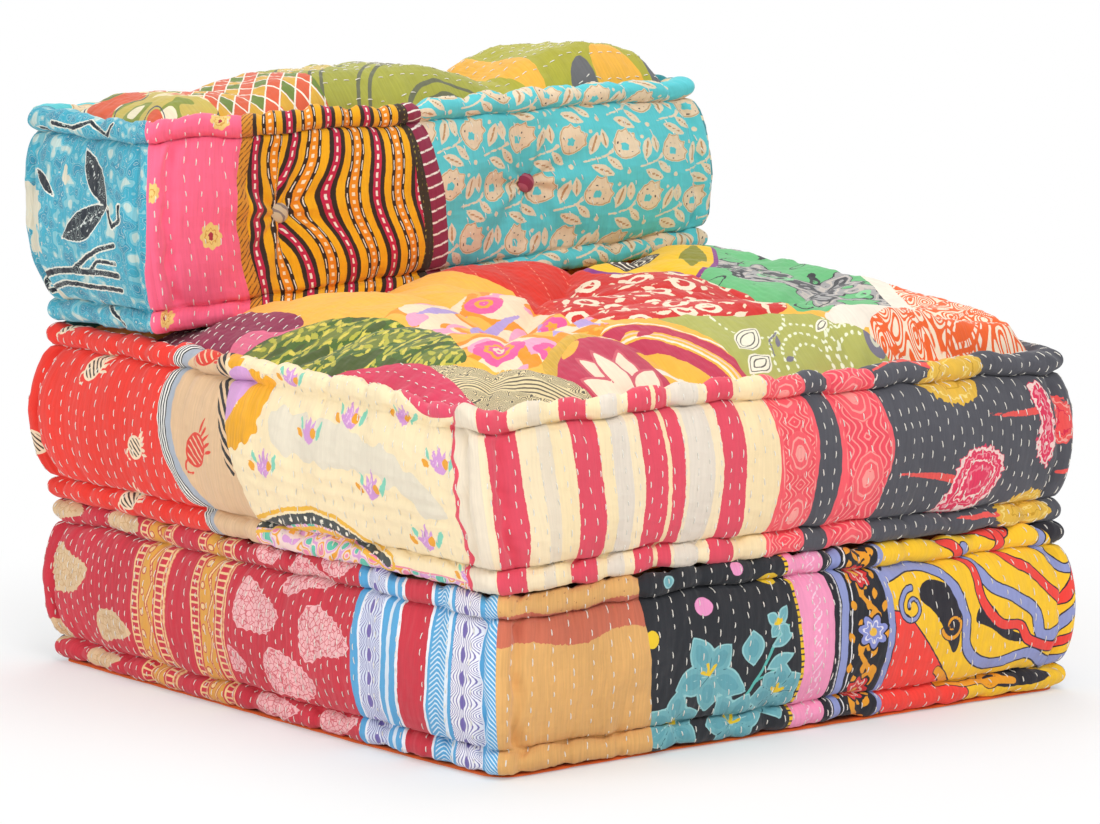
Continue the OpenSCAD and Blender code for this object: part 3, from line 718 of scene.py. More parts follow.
def night_garden(x, y):
    """Flowers on black: four lilies with buds on a stem to the right, and loose dots above them."""
    flowers = [lily(x, y, -11.3, 4.5, 4.3, 0.85), lily(x, y, -15.7, -0.5, 3.9, 0.4, 6),
        lily(x, y, -7.7, -1, 3.9, 0.1, 6), lily(x, y, -2.6, 1.7, 3.2, 0.5, 7, 0.4),
        lily(x, y, -2.9, 8.6, 1.9, 0.9, 4)]
    petals, folds, veins, stamens = [union(*held) for held in zip(*flowers)]
    buds = union(leaf(x, y, -5.9, 4.9, -6.3, 8.6, 1.4), leaf(x, y, -3.9, 6.4, -0.9, 7.6, 0.6),
        leaf(x, y, -4.4, 4.3, -0.9, 5.6, 0.75), disc(x, y, -16, 14.9, 0.8))
    stem = stroke(x, y, curve([(-7.6, 0.8), (-5.7, 3.3), (-4.4, 5), (-3.1, 7.2), (-1.6, 8.4)]), 0.16)
    stem = union(stem, stroke(x, y, curve([(-5.7, 3.3), (-3.9, 3.9), (-1.8, 4.7)]), 0.12))
    lines = union(veins, stroke(x, y, [(-6.1, 5.2), (-6.2, 7.6)], 0.07))
    dots = union(disc(0.8 * x, y, -9.6, 11.1, 0.85), disc(x, y, -7.3, 15.2, 0.8))
    gold = union(stamens, disc(x, y, -18.9, 9, 0.85), disc(0.7 * x, y, -2, 13.2, 0.9))
    return union(petals, buds), folds, lines, stem, dots, gold


def scrolls(x, y):
    """A print of broad ribbons: a red field, two blue and two red ribbons, black shade beside
    them, and curls."""
    field = union(shape(x, y, [(11, 8.6), (13.6, 8.2), (16, 5.6), (18.6, 2.8), (20.8, 0.4), (24, -0.9),
        (24, -5), (11, -5)]), shape(x, y, [(24, 18), (27, 14), (31, 16), (30, 20)]))
    blue = many(stroke, x, y, (curve([(11, 11.6), (15.5, 12.6), (19.8, 11.4), (21.8, 7.4), (22.6, 3.4),
        (26, 1.4), (31, 1.9), (35, 0.6), (40, 1.2)]), 0.5), (curve([(23, 14.5), (25.5, 9.8), (28.6, 8.2),
        (31.5, 6.2), (32.6, 3.6), (35.6, 4.4), (40, 9)]), 0.6), (curve(
        [(33.4, 17), (34.6, 12.8), (36.4, 10.2), (40, 11.6)]), 0.42), (curl(14.6, 8.6, 1.9, 1.4, 1.3), 0.26,
        0.12))
    red = many(stroke, x, y, (curve([(20.5, 16), (23.6, 12.4), (24.2, 8.4), (26.6, 5.6), (29.6, 5),
        (31, 3.2), (35, 2.4), (40, 4)]), 0.45), (curve([(27.5, 17), (28.8, 12.6), (31.6, 10.4), (34.2, 8),
        (36.2, 7.4), (40, 14)]), 0.5))
    black = union(shape(x, y, [(15.4, 9.4), (17.2, 11.4), (20.6, 10.4), (21.4, 6.6), (21.2, 2.6),
        (19.6, 4.6), (18, 7.6)]), shape(x, y, [(22.8, 6.2), (25, 5.6), (28.4, 3.2), (33.6, 3.2), (28, 4.4),
        (24.6, 8.8)]), shape(x, y, [(33.4, 18), (35.2, 13.2), (40, 12.4), (40, 19)]),
        shape(x, y, [(26, -0.6), (31, 0.6), (36, -1), (33, -2.4), (28, -2.2)]))
    gold = many(stroke, x, y, (curl(20.2, 6.2, 1.5, 3.4, 1.2), 0.22, 0.1),
        (curve([(19, 1.6), (22.4, -0.6), (26, -0.9), (30, -1.6)]), 0.4),
        (curl(27.4, -1.2, 1.3, 0, 1.1), 0.25, 0.1))
    return field, black, blue, red, gold


def lotus(x, y, places, seed):
    """Block-printed drops, pointed at the right: their outline is jagged by the teeth of the block."""
    gap = full(x.shape, 99.0)
    for a, b, w, h in places:
        u, v = (x - a) / w * 2, (y - b) / h * 2 - 0.12 * (x - a) / w
        v = v - 0.16 * sin(2.6 * u + seed * b)
        half = np.sqrt(clip(1 - abs(u) ** 2.6, 0.0, 1)) * (1 - 0.5 * u) * 0.86
        teeth = 0.1 * abs(sin(10 * np.arctan2(v, u) + seed * a)) + 0.05 * sin(5 * u + b)
        gap = minimum(gap, maximum(abs(v) - half + teeth, abs(u) - 1 + teeth) * h / 2)
    return gap


def between(x, low, high):
    """Distance outside an upright band."""
    return abs(x - (low + high) / 2) - (high - low) / 2


def woven_borders(x, y):
    """Two gold borders: a braid with a zigzag and dots on it, between ladders whose rungs are a
    comb of the last channel but one within the last."""
    u = where(x < -11.7, x + 17.3, x + 6)
    braid = between(u, -1.6, 1.1)
    wave = abs(u + 0.25 - abs(mod(y, 4.4) / 2.2 - 1)) - 0.14
    wave = maximum(union(wave, disc(u, mod(y, 2.2), -1.1, 1.1, 0.32)), braid)
    rails = union(*[abs(u - place) - 0.13 for place in (-3.2, -1.9, 1.5, 2.9, 3.4)])
    return braid, wave, rails, y, union(between(u, -3.2, -1.9), between(u, 1.5, 2.9))


def blue_borders(x, y):
    """Bands of fine lines: the place across, lines that swell round lozenges and their band, a
    herringbone and its band, and the lozenges."""
    middle = where(x < 28, 22.1, 35.5)
    swelling = (x - middle) / (1 + 0.34 * cos(2.73 * y)) + 40
    bands = union(between(x, 20.6, 23.6), between(x, 33.9, 37.3))
    gems = leaf(x - middle, mod(y + 1.15, 2.3), 0, 0.35, 0, 1.95, 0.36)
    return x, swelling, bands, y + 0.9 * abs(x - 32.1), union(between(x, 31.1, 33.1),
        between(x, 37.9, 41)), gems


base_front = [
    patch("tan_cotton", "#E1AD6A", ink=lambda x, y: (abs(y - 11.9 - 0.4 * sin(x / 2)) - 1.7,
        scattered(x, y, (-40, -18, 12.5, 19), 1.2, 3, lambda x, y, a, b, g: disc(x, y, a, b,
        g.uniform(0.03, 0.14)))), layers=[(0, "#CC6F55"), (1, "#B98250")], mottle=0.14, ragged=0.16,
        rows=(2.55, 1.5, False, lambda y: 0.2 * sin(y / 4))),
    patch("black_flowered_cotton", "#2A2C31", strip(WALL, [-18.2, -18.4, -19.2, -19.6, -19.8]), night_garden,
        layers=[(3, "#5FB9B0"), (0, "#98CCCE"), (0, "#74B2BA", -0.2), (0, "#66A6B1", -0.75), (1, "#2C5F6D"),
        (2, "#A5D0D0"), (4, "#F09AC8"), (5, "#F2CB2E")], rows=(1.9, 1.3)),
    patch("dotted_yellow_selvedge", "#F2C62E", strip(WALL, [-0.4, 0.2, 0, -0.5, -1.4]),
        lambda x, y: bars(y, 0.62, 0.12), layers=[(0, "#2C2A3A")]),
    patch("pink_cotton", "#F99DC2", strip(WALL, [0, 0.6, 0.4, -0.1, -1]),
        lambda x, y: union(abs(x - 2.3 - 0.45 * sin(2.6 * y)) - 0.1, abs(x - 2.3 + 0.45 * sin(2.6 * y))
        - 0.1), layers=[(0, "#FBD3E3")], rows=(1.5, 1.3), ragged=0.06),
    patch("black_vine_cotton", "#26272E", strip(WALL, [4.1, 4.6, 4.6, 4.3, 3.6]),
        lambda x, y: (union(between(x, 5.4, 6.3), between(x, 11.2, 12.1)),
        union(abs(x - 5.15) - 0.12, abs(x - 6.75) - 0.07), union(vine(x, y, 8.9, 1.1, 6.4),
        scattered(x, y, (7, 10.9, -4, 18), 1.8, 5, lambda x, y, a, b, g: leaf(x, y, a, b,
        a + g.uniform(-1, 1), b + 1.2, 0.36))), many(bloom, x, y, (8.6, 12.6, 1.6, 7), (8.7, 0.3, 1.7, 7),
        (8.3, 17.4, 1.2, 5)), bloom(x, y, 9.3, 6.6, 1.9, 7, 0.3, 0.4),
        many(disc, x, y, (9.3, 6.6, 0.45), (8.6, 12.6, 0.35), (8.7, 0.3, 0.35))),
        layers=[(0, "#959FD3"), (1, "#F2F0F2"), (2, "#F0A32F"), (3, "#26272E", -0.1, 0.16),
        (3, "#E0393C", -0.1), (3, "#F6D2C4", -0.75, -0.55), (4, "#26272E", -0.1, 0.16), (4, "#8E97D6", -0.1),
        (4, "#EDE9F5", -0.8, -0.6), (5, "#F4C04A")], rows=(2.3, 1.5)),
    patch("scroll_printed_cotton", "#FFCB30", strip(WALL, [11.9, 12.3, 12.2, 12, 12]), scrolls,
        layers=[(0, "#2C2A3A", 0.16), (0, "#FB4A40"), (1, "#2C2A31"), (4, "#2C2A3A", 0.12), (4, "#F4A62D"),
        (2, "#2C2A3A", 0.14), (2, "#969ED2"), (3, "#2C2A3A", 0.14), (3, "#F54A42")], rows=(1.9, 1.4))]
lace = [(-33.6, 8, 9, 5.6), (-24.6, 3, 7.4, 3.8), (-29, -1.5, 7, 3), (-36.5, 15, 7, 3), (-24, 14.6, 7, 3.2),
    (-37.6, 0.6, 5, 3.4)]
sprays = [(3.2, 8.8, 8.2, 5.6), (-0.7, 2.9, 3.8, 3.2), (10.6, 13, 8.6, 4.6), (14.6, 7.4, 8.8, 5.8),
    (8.6, 2.6, 9.2, 5.4), (5, -1.6, 8, 3), (15.6, -1.4, 7, 3.2), (3.6, 15.4, 4.4, 3), (15.8, 15.8, 6.4, 3.4)]
base_left = [
    patch("crimson_block_printed_cotton", "#CB3544", ink=lambda x, y: (lotus(x, y, lace, 0.5),
        lotus(x, y, sprays, 1.1)), layers=[(0, "#DFC197"), (0, "#CDA577", -99, -0.5, 0.7, 0.05),
        (1, "#F2B9BA"), (1, "#D4606B", -99, -0.12, 0.55, 0.06)], rows=(1.35, 1.3), mottle=0.16),
    patch("gold_bordered_cotton", "#CB3544", strip(WALL, [-21, -20.8, -21.2], [-2.1, -2.3, -2]),
        woven_borders, combs=[(3, 0.72, 0.11, "#F0CB92", 4)], layers=[(0, "#E0A348"), (1, "#F1CE94"),
        (1, "#C2524A", 0, 0.12), (2, "#F0CB92")], rows=(1.9, 1.4)),
    patch("blue_bordered_cotton", "#CB3544", strip(WALL, [19.4, 19, 19.3]), blue_borders,
        ramp=(0, [(18, "#5AA8D8"), (20.3, "#F1F1F5"), (20.6, "#D5DCEC"), (23.6, "#F1F1F5"),
        (23.9, "#5AA8D8"), (24.7, "#DCE7F1"), (25.2, "#5AA8D8"), (26.2, "#F1F1F5"), (26.6, "#CB3544"),
        (30.4, "#F1F1F5"), (30.7, "#5AA8D8"), (33, "#E6EEF6"), (33.4, "#5AA8D8"), (33.9, "#F3F1F6"),
        (37.4, "#5AA8D8"), (45, "#5AA8D8")]), combs=[(1, 0.34, 0.055, "#7A74AE", 2),
        (3, 0.5, 0.09, "#D6E8F4", 4)], layers=[(5, "#F3F1F6", 0.1), (5, "#7363A8")], rows=(3.4, 1.5))]


def sprig(x, y, a, b, g):
    """A printed berry with one leaf under it."""
    return union(disc(x, y, a, b, 0.55), leaf(x, y, a, b - 0.5, a + 0.9, b - 1.5, 0.3))


base_right = [
    patch("indigo_dotted_cotton", "#3B4A7C", ink=scatter_of("dot", (-42, 0, -4, 18), 2.4, 8, 0.34),
        layers=[(0, "#EBDCC0")], rows=(1.4, 1.45, True)),
    patch("ochre_sprigged_cotton", "#D99A35", strip(WALL, [-18.5, -18, -18.6]),
        lambda x, y: scattered(x, y, (-20, 6, -4, 18), 3.6, 9, sprig), layers=[(0, "#8E2F2B")],
        rows=(1.4, 1.5)),
    patch("crimson_lotus_cotton_2", "#BE3A45", strip(WALL, [3.2, 3, 3.4]),
        lambda x, y: lotus(x, y, [(8.5, 8, 8, 5), (16.5, 3.6, 8, 5), (14.8, 12.6, 7, 4), (6.2, 1, 5, 3),
        (8, 15.6, 6, 3)], 0.7), layers=[(0, "#F0C9A8", -99, 0, 0.9), (0, "#F0C9A8", -0.25, 0)],
        rows=(1.35, 1.45)),
    patch("teal_striped_cotton", "#3A9BA0", strip(WALL, [21.6, 22, 21.5]), lambda x, y: bars(x, 3.2, 0.35),
        layers=[(0, "#F2E3C4")], rows=(1.6, 1.5))]
base_rear = [
    patch("rust_flowered_cotton", "#B8502F", ink=scatter_of("flower", (-40, -8, -4, 18), 4.4, 12, 1.3),
        layers=[(0, "#F1D9AC"), (0, "#7A2A22", -0.85)], rows=(1.4, 1.5, True)),
    patch("olive_cotton", "#7F8B45", strip(WALL, [-9, -8.6, -9.2]), lambda x, y: bars(x + 0.8 * sin(y), 4,
        0.3), layers=[(0, "#E8DFB5")], rows=(1.5, 1.45)),
    patch("pink_cotton_2", "#EE8FB6", strip(WALL, [7, 6.6, 7.2]), lambda x, y: scattered(x, y,
        (6, 24, -4, 18), 3, 4, sprig), layers=[(0, "#A62A57")], rows=(1.35, 1.5)),
    patch("indigo_dotted_cotton_2", "#34426F", strip(WALL, [22.4, 22, 22.6]), lambda x, y: bars(y, 3, 0.3),
        layers=[(0, "#E9B14A")], rows=(1.5, 1.45, True))]
for side, (name, patches) in enumerate((("front", base_front), ("right", base_right), ("rear", base_rear),
        ("left", base_left))):
    make_up("base_%s_border" % name, base, border_cloth(base, side, 100 + 20 * side,
        0.25 if side in (0, 3) else 0.3), patches, 300 + side)

# Base top, bottom, tufts
# The base's top is one plain cotton panel, sewn inside the rolled edge and pressed level by the
# seat. Its bottom is orange canvas. Waxed twine ties each tuft from a covered button to a washer.


def top_cloth(cushion, top, tufts, depth, seed, step=0.25, margin=0.021, crease=None):
    """Cloth of a top: the plain surface top(x, y), less the tufts' hollows and pleats, the folds
    crease(x, y), and gathers that fade 3 cm in from the seam. Its rim dives 3 mm under the roll."""
    a, b = 100 * (cushion.width / 2 - margin), 100 * (cushion.depth / 2 - margin)
    x_line = linspace(-a, a, int(2 * a / step) + 1)
    y_line = linspace(-b, b, int(2 * b / step) + 1)
    x, y = np.meshgrid(x_line / 100, y_line / 100, indexing="ij")
    rim = minimum(a / 100 - abs(x), b / 100 - abs(y))
    run = where(a / 100 - abs(x) < b / 100 - abs(y), y, x)
    gathers = 0.003 * ripple(run, 0.4 * rim, 0.02, 0.08, seed) * exp(-rim / 0.016)
    gathers = gathers - 0.003 * pinches(run, 0.052, 0.008, seed + 3) * exp(-rim / 0.012)
    folds = gathers * ease(rim, 0.004) + 0.0018 * ripple(x, y, 0.04, 0.25, seed + 1) * ease(rim, 0.04)
    z = top(x, y) + folds - 0.003 * exp(-rim / 0.003)
    if len(tufts):
        z = z - tuft_pull(x, y, tufts, depth, seed + 2) * ease(rim, 0.05)
    if crease is not None:
        z = z - crease(x, y) * ease(rim, 0.03)
    x = x * (1 - 2 * cushion.draw_in * z / (cushion.width * cushion.heights[0]))
    return SimpleNamespace(x=x_line, y=y_line, flip=False, points=cushion.place(stack([x, y, z], -1)))


def press(name, cloth):
    """Presses a cushion's batting to 3 mm under the lowest cloth of its top within three cells of
    its grid, so that the tufts and folds sink into it. Returns the cloth."""
    batt = bpy.data.objects[name + "_batting"].data
    co = read(batt, "vertices", "co", 3)
    low = cloth.points[..., 2]
    for axis in (0, 1):
        low = np.min([np.roll(low, k, axis) for k in range(-3, 4)], 0)
    i, j = [(100 * co[:, k] - line[0]) / (line[1] - line[0]) for k, line in enumerate((cloth.x, cloth.y))]
    under = blend_at(low[..., None], i, j)[:, 0] - 0.003
    upper = co[:, 2] > (co[:, 2].min() + co[:, 2].max()) / 2
    co[:, 2] = where(upper, minimum(co[:, 2], under), co[:, 2])
    batt.vertices.foreach_set("co", co.ravel())
    return cloth


RIM = 0.027  # from a cushion's side to the inner edge of its roll, where the top starts to climb


def pillow(x, y, cushion, run, run_deep=None):
    """0 at a cushion's rolls, climbing to 1 over run as a sine quarter wave, from front and rear
    over run_deep."""
    across = ease(cushion.width / 2 - RIM - abs(x), run)
    return across * ease(cushion.depth / 2 - RIM - abs(y), run_deep or run)


def base_level(x, y):
    """Height of the base's top: flat, and lower by the depth of the groove at its edge."""
    return 0.18 - PINCH * (1 - pillow(x, y, base, 0.04))


base_tufts = [(0, 0)] + [(x, y) for x in (-0.17, 0.17) for y in (-0.18, 0.18)]
make_up("base_top_panel", base, press("base", top_cloth(base, base_level, base_tufts, 0.026, 500, 0.5)),
    [patch("plain_ochre_cotton", "#C9A062")], 510)


def canvas(name, colour):
    """Cotton canvas: a stiff plain weave of thick threads 0.9 mm apart, drawn at 1.8 mm to show."""
    material, tree, out = new_material(name)
    place = add(tree, "ShaderNodeTexCoord").outputs["Object"]
    threads = [add(tree, "ShaderNodeTexWave", {"Vector": place, "Scale": 1 / 0.0018 / 20},
        bands_direction=way).outputs[1] for way in "XY"]
    height = add(tree, "ShaderNodeMath", {0: threads[0], 1: threads[1]}, operation="ADD").outputs[0]
    fade = add(tree, "ShaderNodeTexNoise", {"Vector": place, "Scale": 14.0, "Detail": 5.0}).outputs[0]
    shade = add(tree, "ShaderNodeMapRange", {0: fade, 1: 0.3, 2: 0.7, 3: 0.86, 4: 1.04}).outputs[0]
    tone = add(tree, "ShaderNodeVectorMath", {0: linear(colour)[:3], "Scale": shade},
        operation="SCALE").outputs[0]
    surface(tree, out, tone, height, 0.0003, {"Roughness": 0.85, "Specular IOR Level": 0.3,
        "Sheen Weight": 0.1})
    return material


orange_canvas = canvas("orange_cotton_canvas", "#EC6B2C")


def bottom(cushion, tufts=(), inset=0.006):
    """The canvas bottom: a slab 4 mm thick with corners of 24 mm radius, two sheets joined round the
    rim. The lower one is uneven by 0.3 mm and pressed in 2.3 mm under each washer."""
    half = array([cushion.width / 2 - inset, cushion.depth / 2 - inset])
    nu, nv = (int(2 * h / 0.0055) for h in half)
    u, v = np.meshgrid(linspace(-1, 1, nu), linspace(-1, 1, nv), indexing="ij")
    p = round_corners(stack([u * half[0], v * half[1]], -1), half, 0.024)
    low = 0.0003 + 0.0003 * ripple(p[..., 0], p[..., 1], 0.03, 0.2, 7)
    low = clip(low, 0, 0.0008)
    hollow = 0.0156  # a little wider than the washers
    for a, b in tufts:
        r = hypot(p[..., 0] - a, p[..., 1] - b)
        near = abs(r - hollow) < 0.003
        scale = where(near, hollow / maximum(r, 1e-6), 1)
        p = array([a, b]) + (p - array([a, b])) * scale[..., None]
        low = where(r < hollow + 0.003, 0.0026, low)
    edge = minimum(half[0] - abs(u * half[0]), half[1] - abs(v * half[1]))
    round_off = 0.0012 * exp(-edge / 0.002)
    sheets = [concatenate([p, z[..., None]], -1) for z in (low + round_off, 0.004 - round_off)]
    points = cushion.place(stack(sheets)).reshape(-1, 3)
    index = arange(nu * nv).reshape(nu, nv)
    quads = quads_of(index)
    ring = concatenate([index[:-1, 0], index[-1, :-1], index[:0:-1, -1], index[0, :0:-1]])
    after = np.roll(ring, -1)
    side = stack([ring, after, after + nu * nv, ring + nu * nv], -1)
    made = mesh_of("bottom", points, concatenate([quads[:, ::-1], quads + nu * nv, side]))
    made.materials.append(orange_canvas)
    piece = show(cushion.name + "_canvas_bottom", made)
    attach(piece, cushion.body)
    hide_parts(cushion.name + "_bottom_panel")
    return piece


bottom(base, base_tufts, 0.0085)


def square_to(ahead):
    """Two unit vectors square to a unit vector and to each other."""
    side = np.cross(ahead, (0.3, 0.5, 0.8))
    side = side / np.linalg.norm(side)
    return side, np.cross(ahead, side)


def turned(name, profile, places, up, around=48, pleat=0.0):
    """A form of revolution at each place: the profile's (radius, height) goes round the axis up, the
    radius pleated by the cosine of 12 times the bearing."""
    up = array(up, float) / np.linalg.norm(up)
    side, other = square_to(up)
    profile = array(profile)
    turn = linspace(0, 2 * pi, around, endpoint=False)
    radius = profile[:, :1] * (1 + array(pleat).reshape(-1, 1) * cos(12 * turn))
    form = (radius[..., None] * (cos(turn)[:, None] * side + sin(turn)[:, None] * other)
        + profile[:, 1][:, None, None] * up)
    rows, n = len(profile), len(profile) * around
    index = arange(n).reshape(rows, around)
    ahead = np.roll(index, -1, 1)
    quads = stack([index[:-1], ahead[:-1], ahead[1:], index[1:]], -1).reshape(-1, 4)
    points = concatenate([form.reshape(-1, 3) + array(p) for p in places])
    faces = concatenate([quads + k * n for k in range(len(places))])
    return mesh_of(name, points, faces)


def covered(name, ground, marks, colour, bent=1.2):
    """Cotton stretched over a button mould: soft and matt, with a few embroidered marks across."""
    material, tree, out = new_material(name)
    place = add(tree, "ShaderNodeTexCoord").outputs["Object"]
    bands = add(tree, "ShaderNodeTexWave", {"Vector": place, "Scale": marks, "Distortion": bent,
        "Detail": 2.0}, bands_direction="DIAGONAL").outputs[1]
    mask = add(tree, "ShaderNodeMapRange", {0: bands, 1: 0.72, 2: 0.8}).outputs[0]
    tone = add(tree, "ShaderNodeMix", {0: mask, 6: linear(ground), 7: linear(colour)},
        data_type="RGBA").outputs[2]
    weave = add(tree, "ShaderNodeTexNoise", {"Vector": place, "Scale": 900.0, "Detail": 2.0}).outputs[0]
    surface(tree, out, tone, weave, 0.0002, {"Roughness": 0.85, "Specular IOR Level": 0.3,
        "Sheen Weight": 0.2})
    return material


def buttons(node, cushion, places, up, depth, materials, domes=(0.0065,)):
    """Covered buttons: a dome 22 mm across over a cone that fills the point of the hollow. The
    cloth is pleated under the rim, where it is drawn to the shank."""
    seat_at = depth * (1 - (1 - 0.011 / 0.15) ** 2) + 0.0004
    pleat = [0, 0.1, 0.05, 0.035, 0.02, 0.012, 0.006] + [0] * 9
    for k, material in enumerate(materials):
        dome = domes[k % len(domes)]
        profile = [(0.00005, 0.0003), (0.003, 0.3 * seat_at), (0.0075, 0.75 * seat_at),
            (0.0096, 0.95 * seat_at), (0.0107, seat_at - 0.0001)]
        profile += [(0.011 * cos(a), seat_at + dome * sin(a)) for a in np.radians(
            [6, 14, 24, 34, 44, 54, 64, 74, 82, 87])] + [(0.00005, seat_at + dome)]
        made = turned(node, profile, places[k::len(materials)], up, pleat=pleat)
        made.materials.append(material)
        piece = show("%s_covered_%d" % (node, k + 1), made)
        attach(piece, cushion.body)
        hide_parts(node)


maroon_cover = covered("maroon_button_cotton", "#93304B", 35.0, "#B65A6C")
buttons("base_buttons", base, [(a, b, base_level(a, b) - 0.026) for a, b in base_tufts], (0, 0, 1), 0.026,
    [maroon_cover])

felt = fibre("pressed_wool_felt", "#EDE6D6", 0.0012, 0.0005, 0.4)
washer_profile = [(0.00185, 0.0001), (0.0145, 0.0001), (0.015, 0.0005), (0.015, 0.0016), (0.0146, 0.002),
    (0.00225, 0.002), (0.00185, 0.0016), (0.00185, 0.0001)]


def washers(cushion, tufts):
    """Felt discs 30 mm across and 2 mm thick, with rounded rims, that spread the twine's pull."""
    at = cushion.place(array([(a, b, 0.0002) for a, b in tufts]))
    made = turned("washers", washer_profile, at, (0, 0, 1))
    made.materials.append(felt)
    piece = show(cushion.name + "_felt_washers", made)
    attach(piece, cushion.body)
    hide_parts(cushion.name + "_washers")


washers(base, base_tufts)

waxed = thread_material("waxed_cotton_twine", "#E9DFC8")


def twine(cushion, starts, ends):
    """Two-ply twine 3 mm thick from each start to its end: its section is two lobes, radius
    1.1 + 0.35 * |cos(bearing)| mm, which turns once in 12 mm along it."""
    points, faces = [], []
    turn = linspace(0, 2 * pi, 12, endpoint=False)
    for a, b in zip(array(starts), array(ends)):
        long = np.linalg.norm(b - a)
        t = linspace(0, 1, int(long / 0.0016))
        ahead = (b - a) / long
        side, other = square_to(ahead)
        ply = turn[None, :] - 2 * pi * t[:, None] * long / 0.012
        r = (0.0011 + 0.00035 * abs(cos(ply))) * np.sqrt(1 - (2 * t[:, None] - 1) ** 60)
        ring = (a + (b - a) * t[:, None, None] + r[..., None] * (cos(turn)[:, None] * side
            + sin(turn)[:, None] * other))
        index = arange(len(t) * 12).reshape(-1, 12) + sum(len(p) for p in points)
        around = np.roll(index, -1, 1)
        faces.append(stack([index[:-1], around[:-1], around[1:], index[1:]], -1).reshape(-1, 4))
        points.append(ring.reshape(-1, 3))
    made = mesh_of("twine", concatenate(points), concatenate(faces))
    made.materials.append(waxed)
    piece = show(cushion.name + "_waxed_twine", made)
    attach(piece, cushion.body)
    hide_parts(cushion.name + "_twine")


twine(base, [(a, b, 0.0006) for a, b in base_tufts], [(a, b, base_level(a, b) - 0.0263)
    for a, b in base_tufts])

# Seat borders
# The seat's side walls are pieced and quilted like the base's, 18 cm high at the front and higher
# behind, where the cushion has been pushed up.


def on_base(p):
    """Places the seat: on the base, 4 mm to the left. Its front left corner goes 12 mm right and 9 mm
    forwards at the foot, and 10 mm left and 9 mm down at the top. The rear left one swells 7 mm."""
    share = exp(-(hypot(p[..., 0] + 0.38, p[..., 1] + 0.4) / 0.16) ** 2)
    up = clip(p[..., 2] / 0.18, 0, 1)
    moved = stack([0.012 - 0.022 * up, -0.009 + 0.007 * up, -0.0045 - 0.0045 * up], -1) * share[..., None]
    rear = exp(-(hypot(p[..., 0] + 0.38, p[..., 1] - 0.4) / 0.2) ** 2) * sin(pi * up)
    return p + moved + rear[..., None] * array([-0.007, 0.007, 0]) + array([-0.004, 0, 0.1803])


seat = SimpleNamespace(name="seat", body="seat_cushion", width=0.76, depth=0.80, foot=-0.0008,
    heights=(0.18, 0.18, 0.232, 0.192), wall=WALL, draw_in=0.0, place=on_base)


def brocade(x, y, middle, half, pitch):
    """Fields whose combs draw a woven border: rings round medallions pitch cm apart and the
    medallions' outline, scrolls between them and theirs, and lines near the border's edges."""
    u, v = abs(x - middle), abs(mod(y, pitch) - pitch / 2)
    ring = maximum(u + 0.45 * v, 0.8 * v + 0.4 * u)
    scroll = u + 0.5 * cos(2 * pi * v / (0.36 * pitch)) + 4
    return (ring, ring - 0.7 * half, scroll, maximum(0.72 * half - ring, u - half + 0.55),
        abs(u - half + 0.32) - 0.08, bloom(u, v, 0, 0, 0.26 * half, 6))


def feathered(x, y, outline, seed):
    """A block-printed tree crown: its outline frayed by a fine ripple of 2 mm."""
    return shape(x, y, outline) + 0.22 * ripple(x, y, 0.5, 1.2, seed, 8)


def bulge(y):
    """Sine of the way up a wall: 0 at its seams, 1 half way up."""
    return sin(pi * clip(y / WALL, 0, 1))


def front_bow(y):
    """How far the seat's stripes bow to the right half way up the swollen wall, in cm."""
    return 0.35 * bulge(y) - 0.55 * ((y < -0.1) | (y > 12.8))


seat_stripes = [(-45, "#F6E2BC"), (-37.3, "#E34E62"), (-33.7, "#F8E4BE"), (-31.4, "#EBDCC4"),
    (-29.9, "#F9E3B6"), (-27.8, "#E34E62"), (-24.6, "#F9E3B6"), (-23.1, "#E6DACA"), (-21, "#F8E4BE"),
    (-19.7, "#E34E62"), (-17.1, "#F8DDB0"), (-16.6, "#E34E62"), (-14.9, "#F3E1BF"), (-14.4, "#E6DACA"),
    (-11.2, "#F8E4BE"), (-9.9, "#E34E62"), (-6.9, "#F9E1B3"), (-2, "#F9E1B3")]
crown_a = [(18.6, -0.4), (20.4, 1.8), (20.6, 3.9), (21.6, 5.9), (23.4, 6.6), (25.8, 6.2), (27.6, 4.6),
    (27.4, 2.3), (25.6, 0.6), (22.6, 0.1)]
crown_b = [(31.9, 11.9), (33.2, 12.4), (34.2, 11), (34.6, 8), (34.7, 5.2), (33.8, 3.4), (32.4, 4.2),
    (31.9, 6.4), (32.7, 8.2), (31.8, 10.2)]
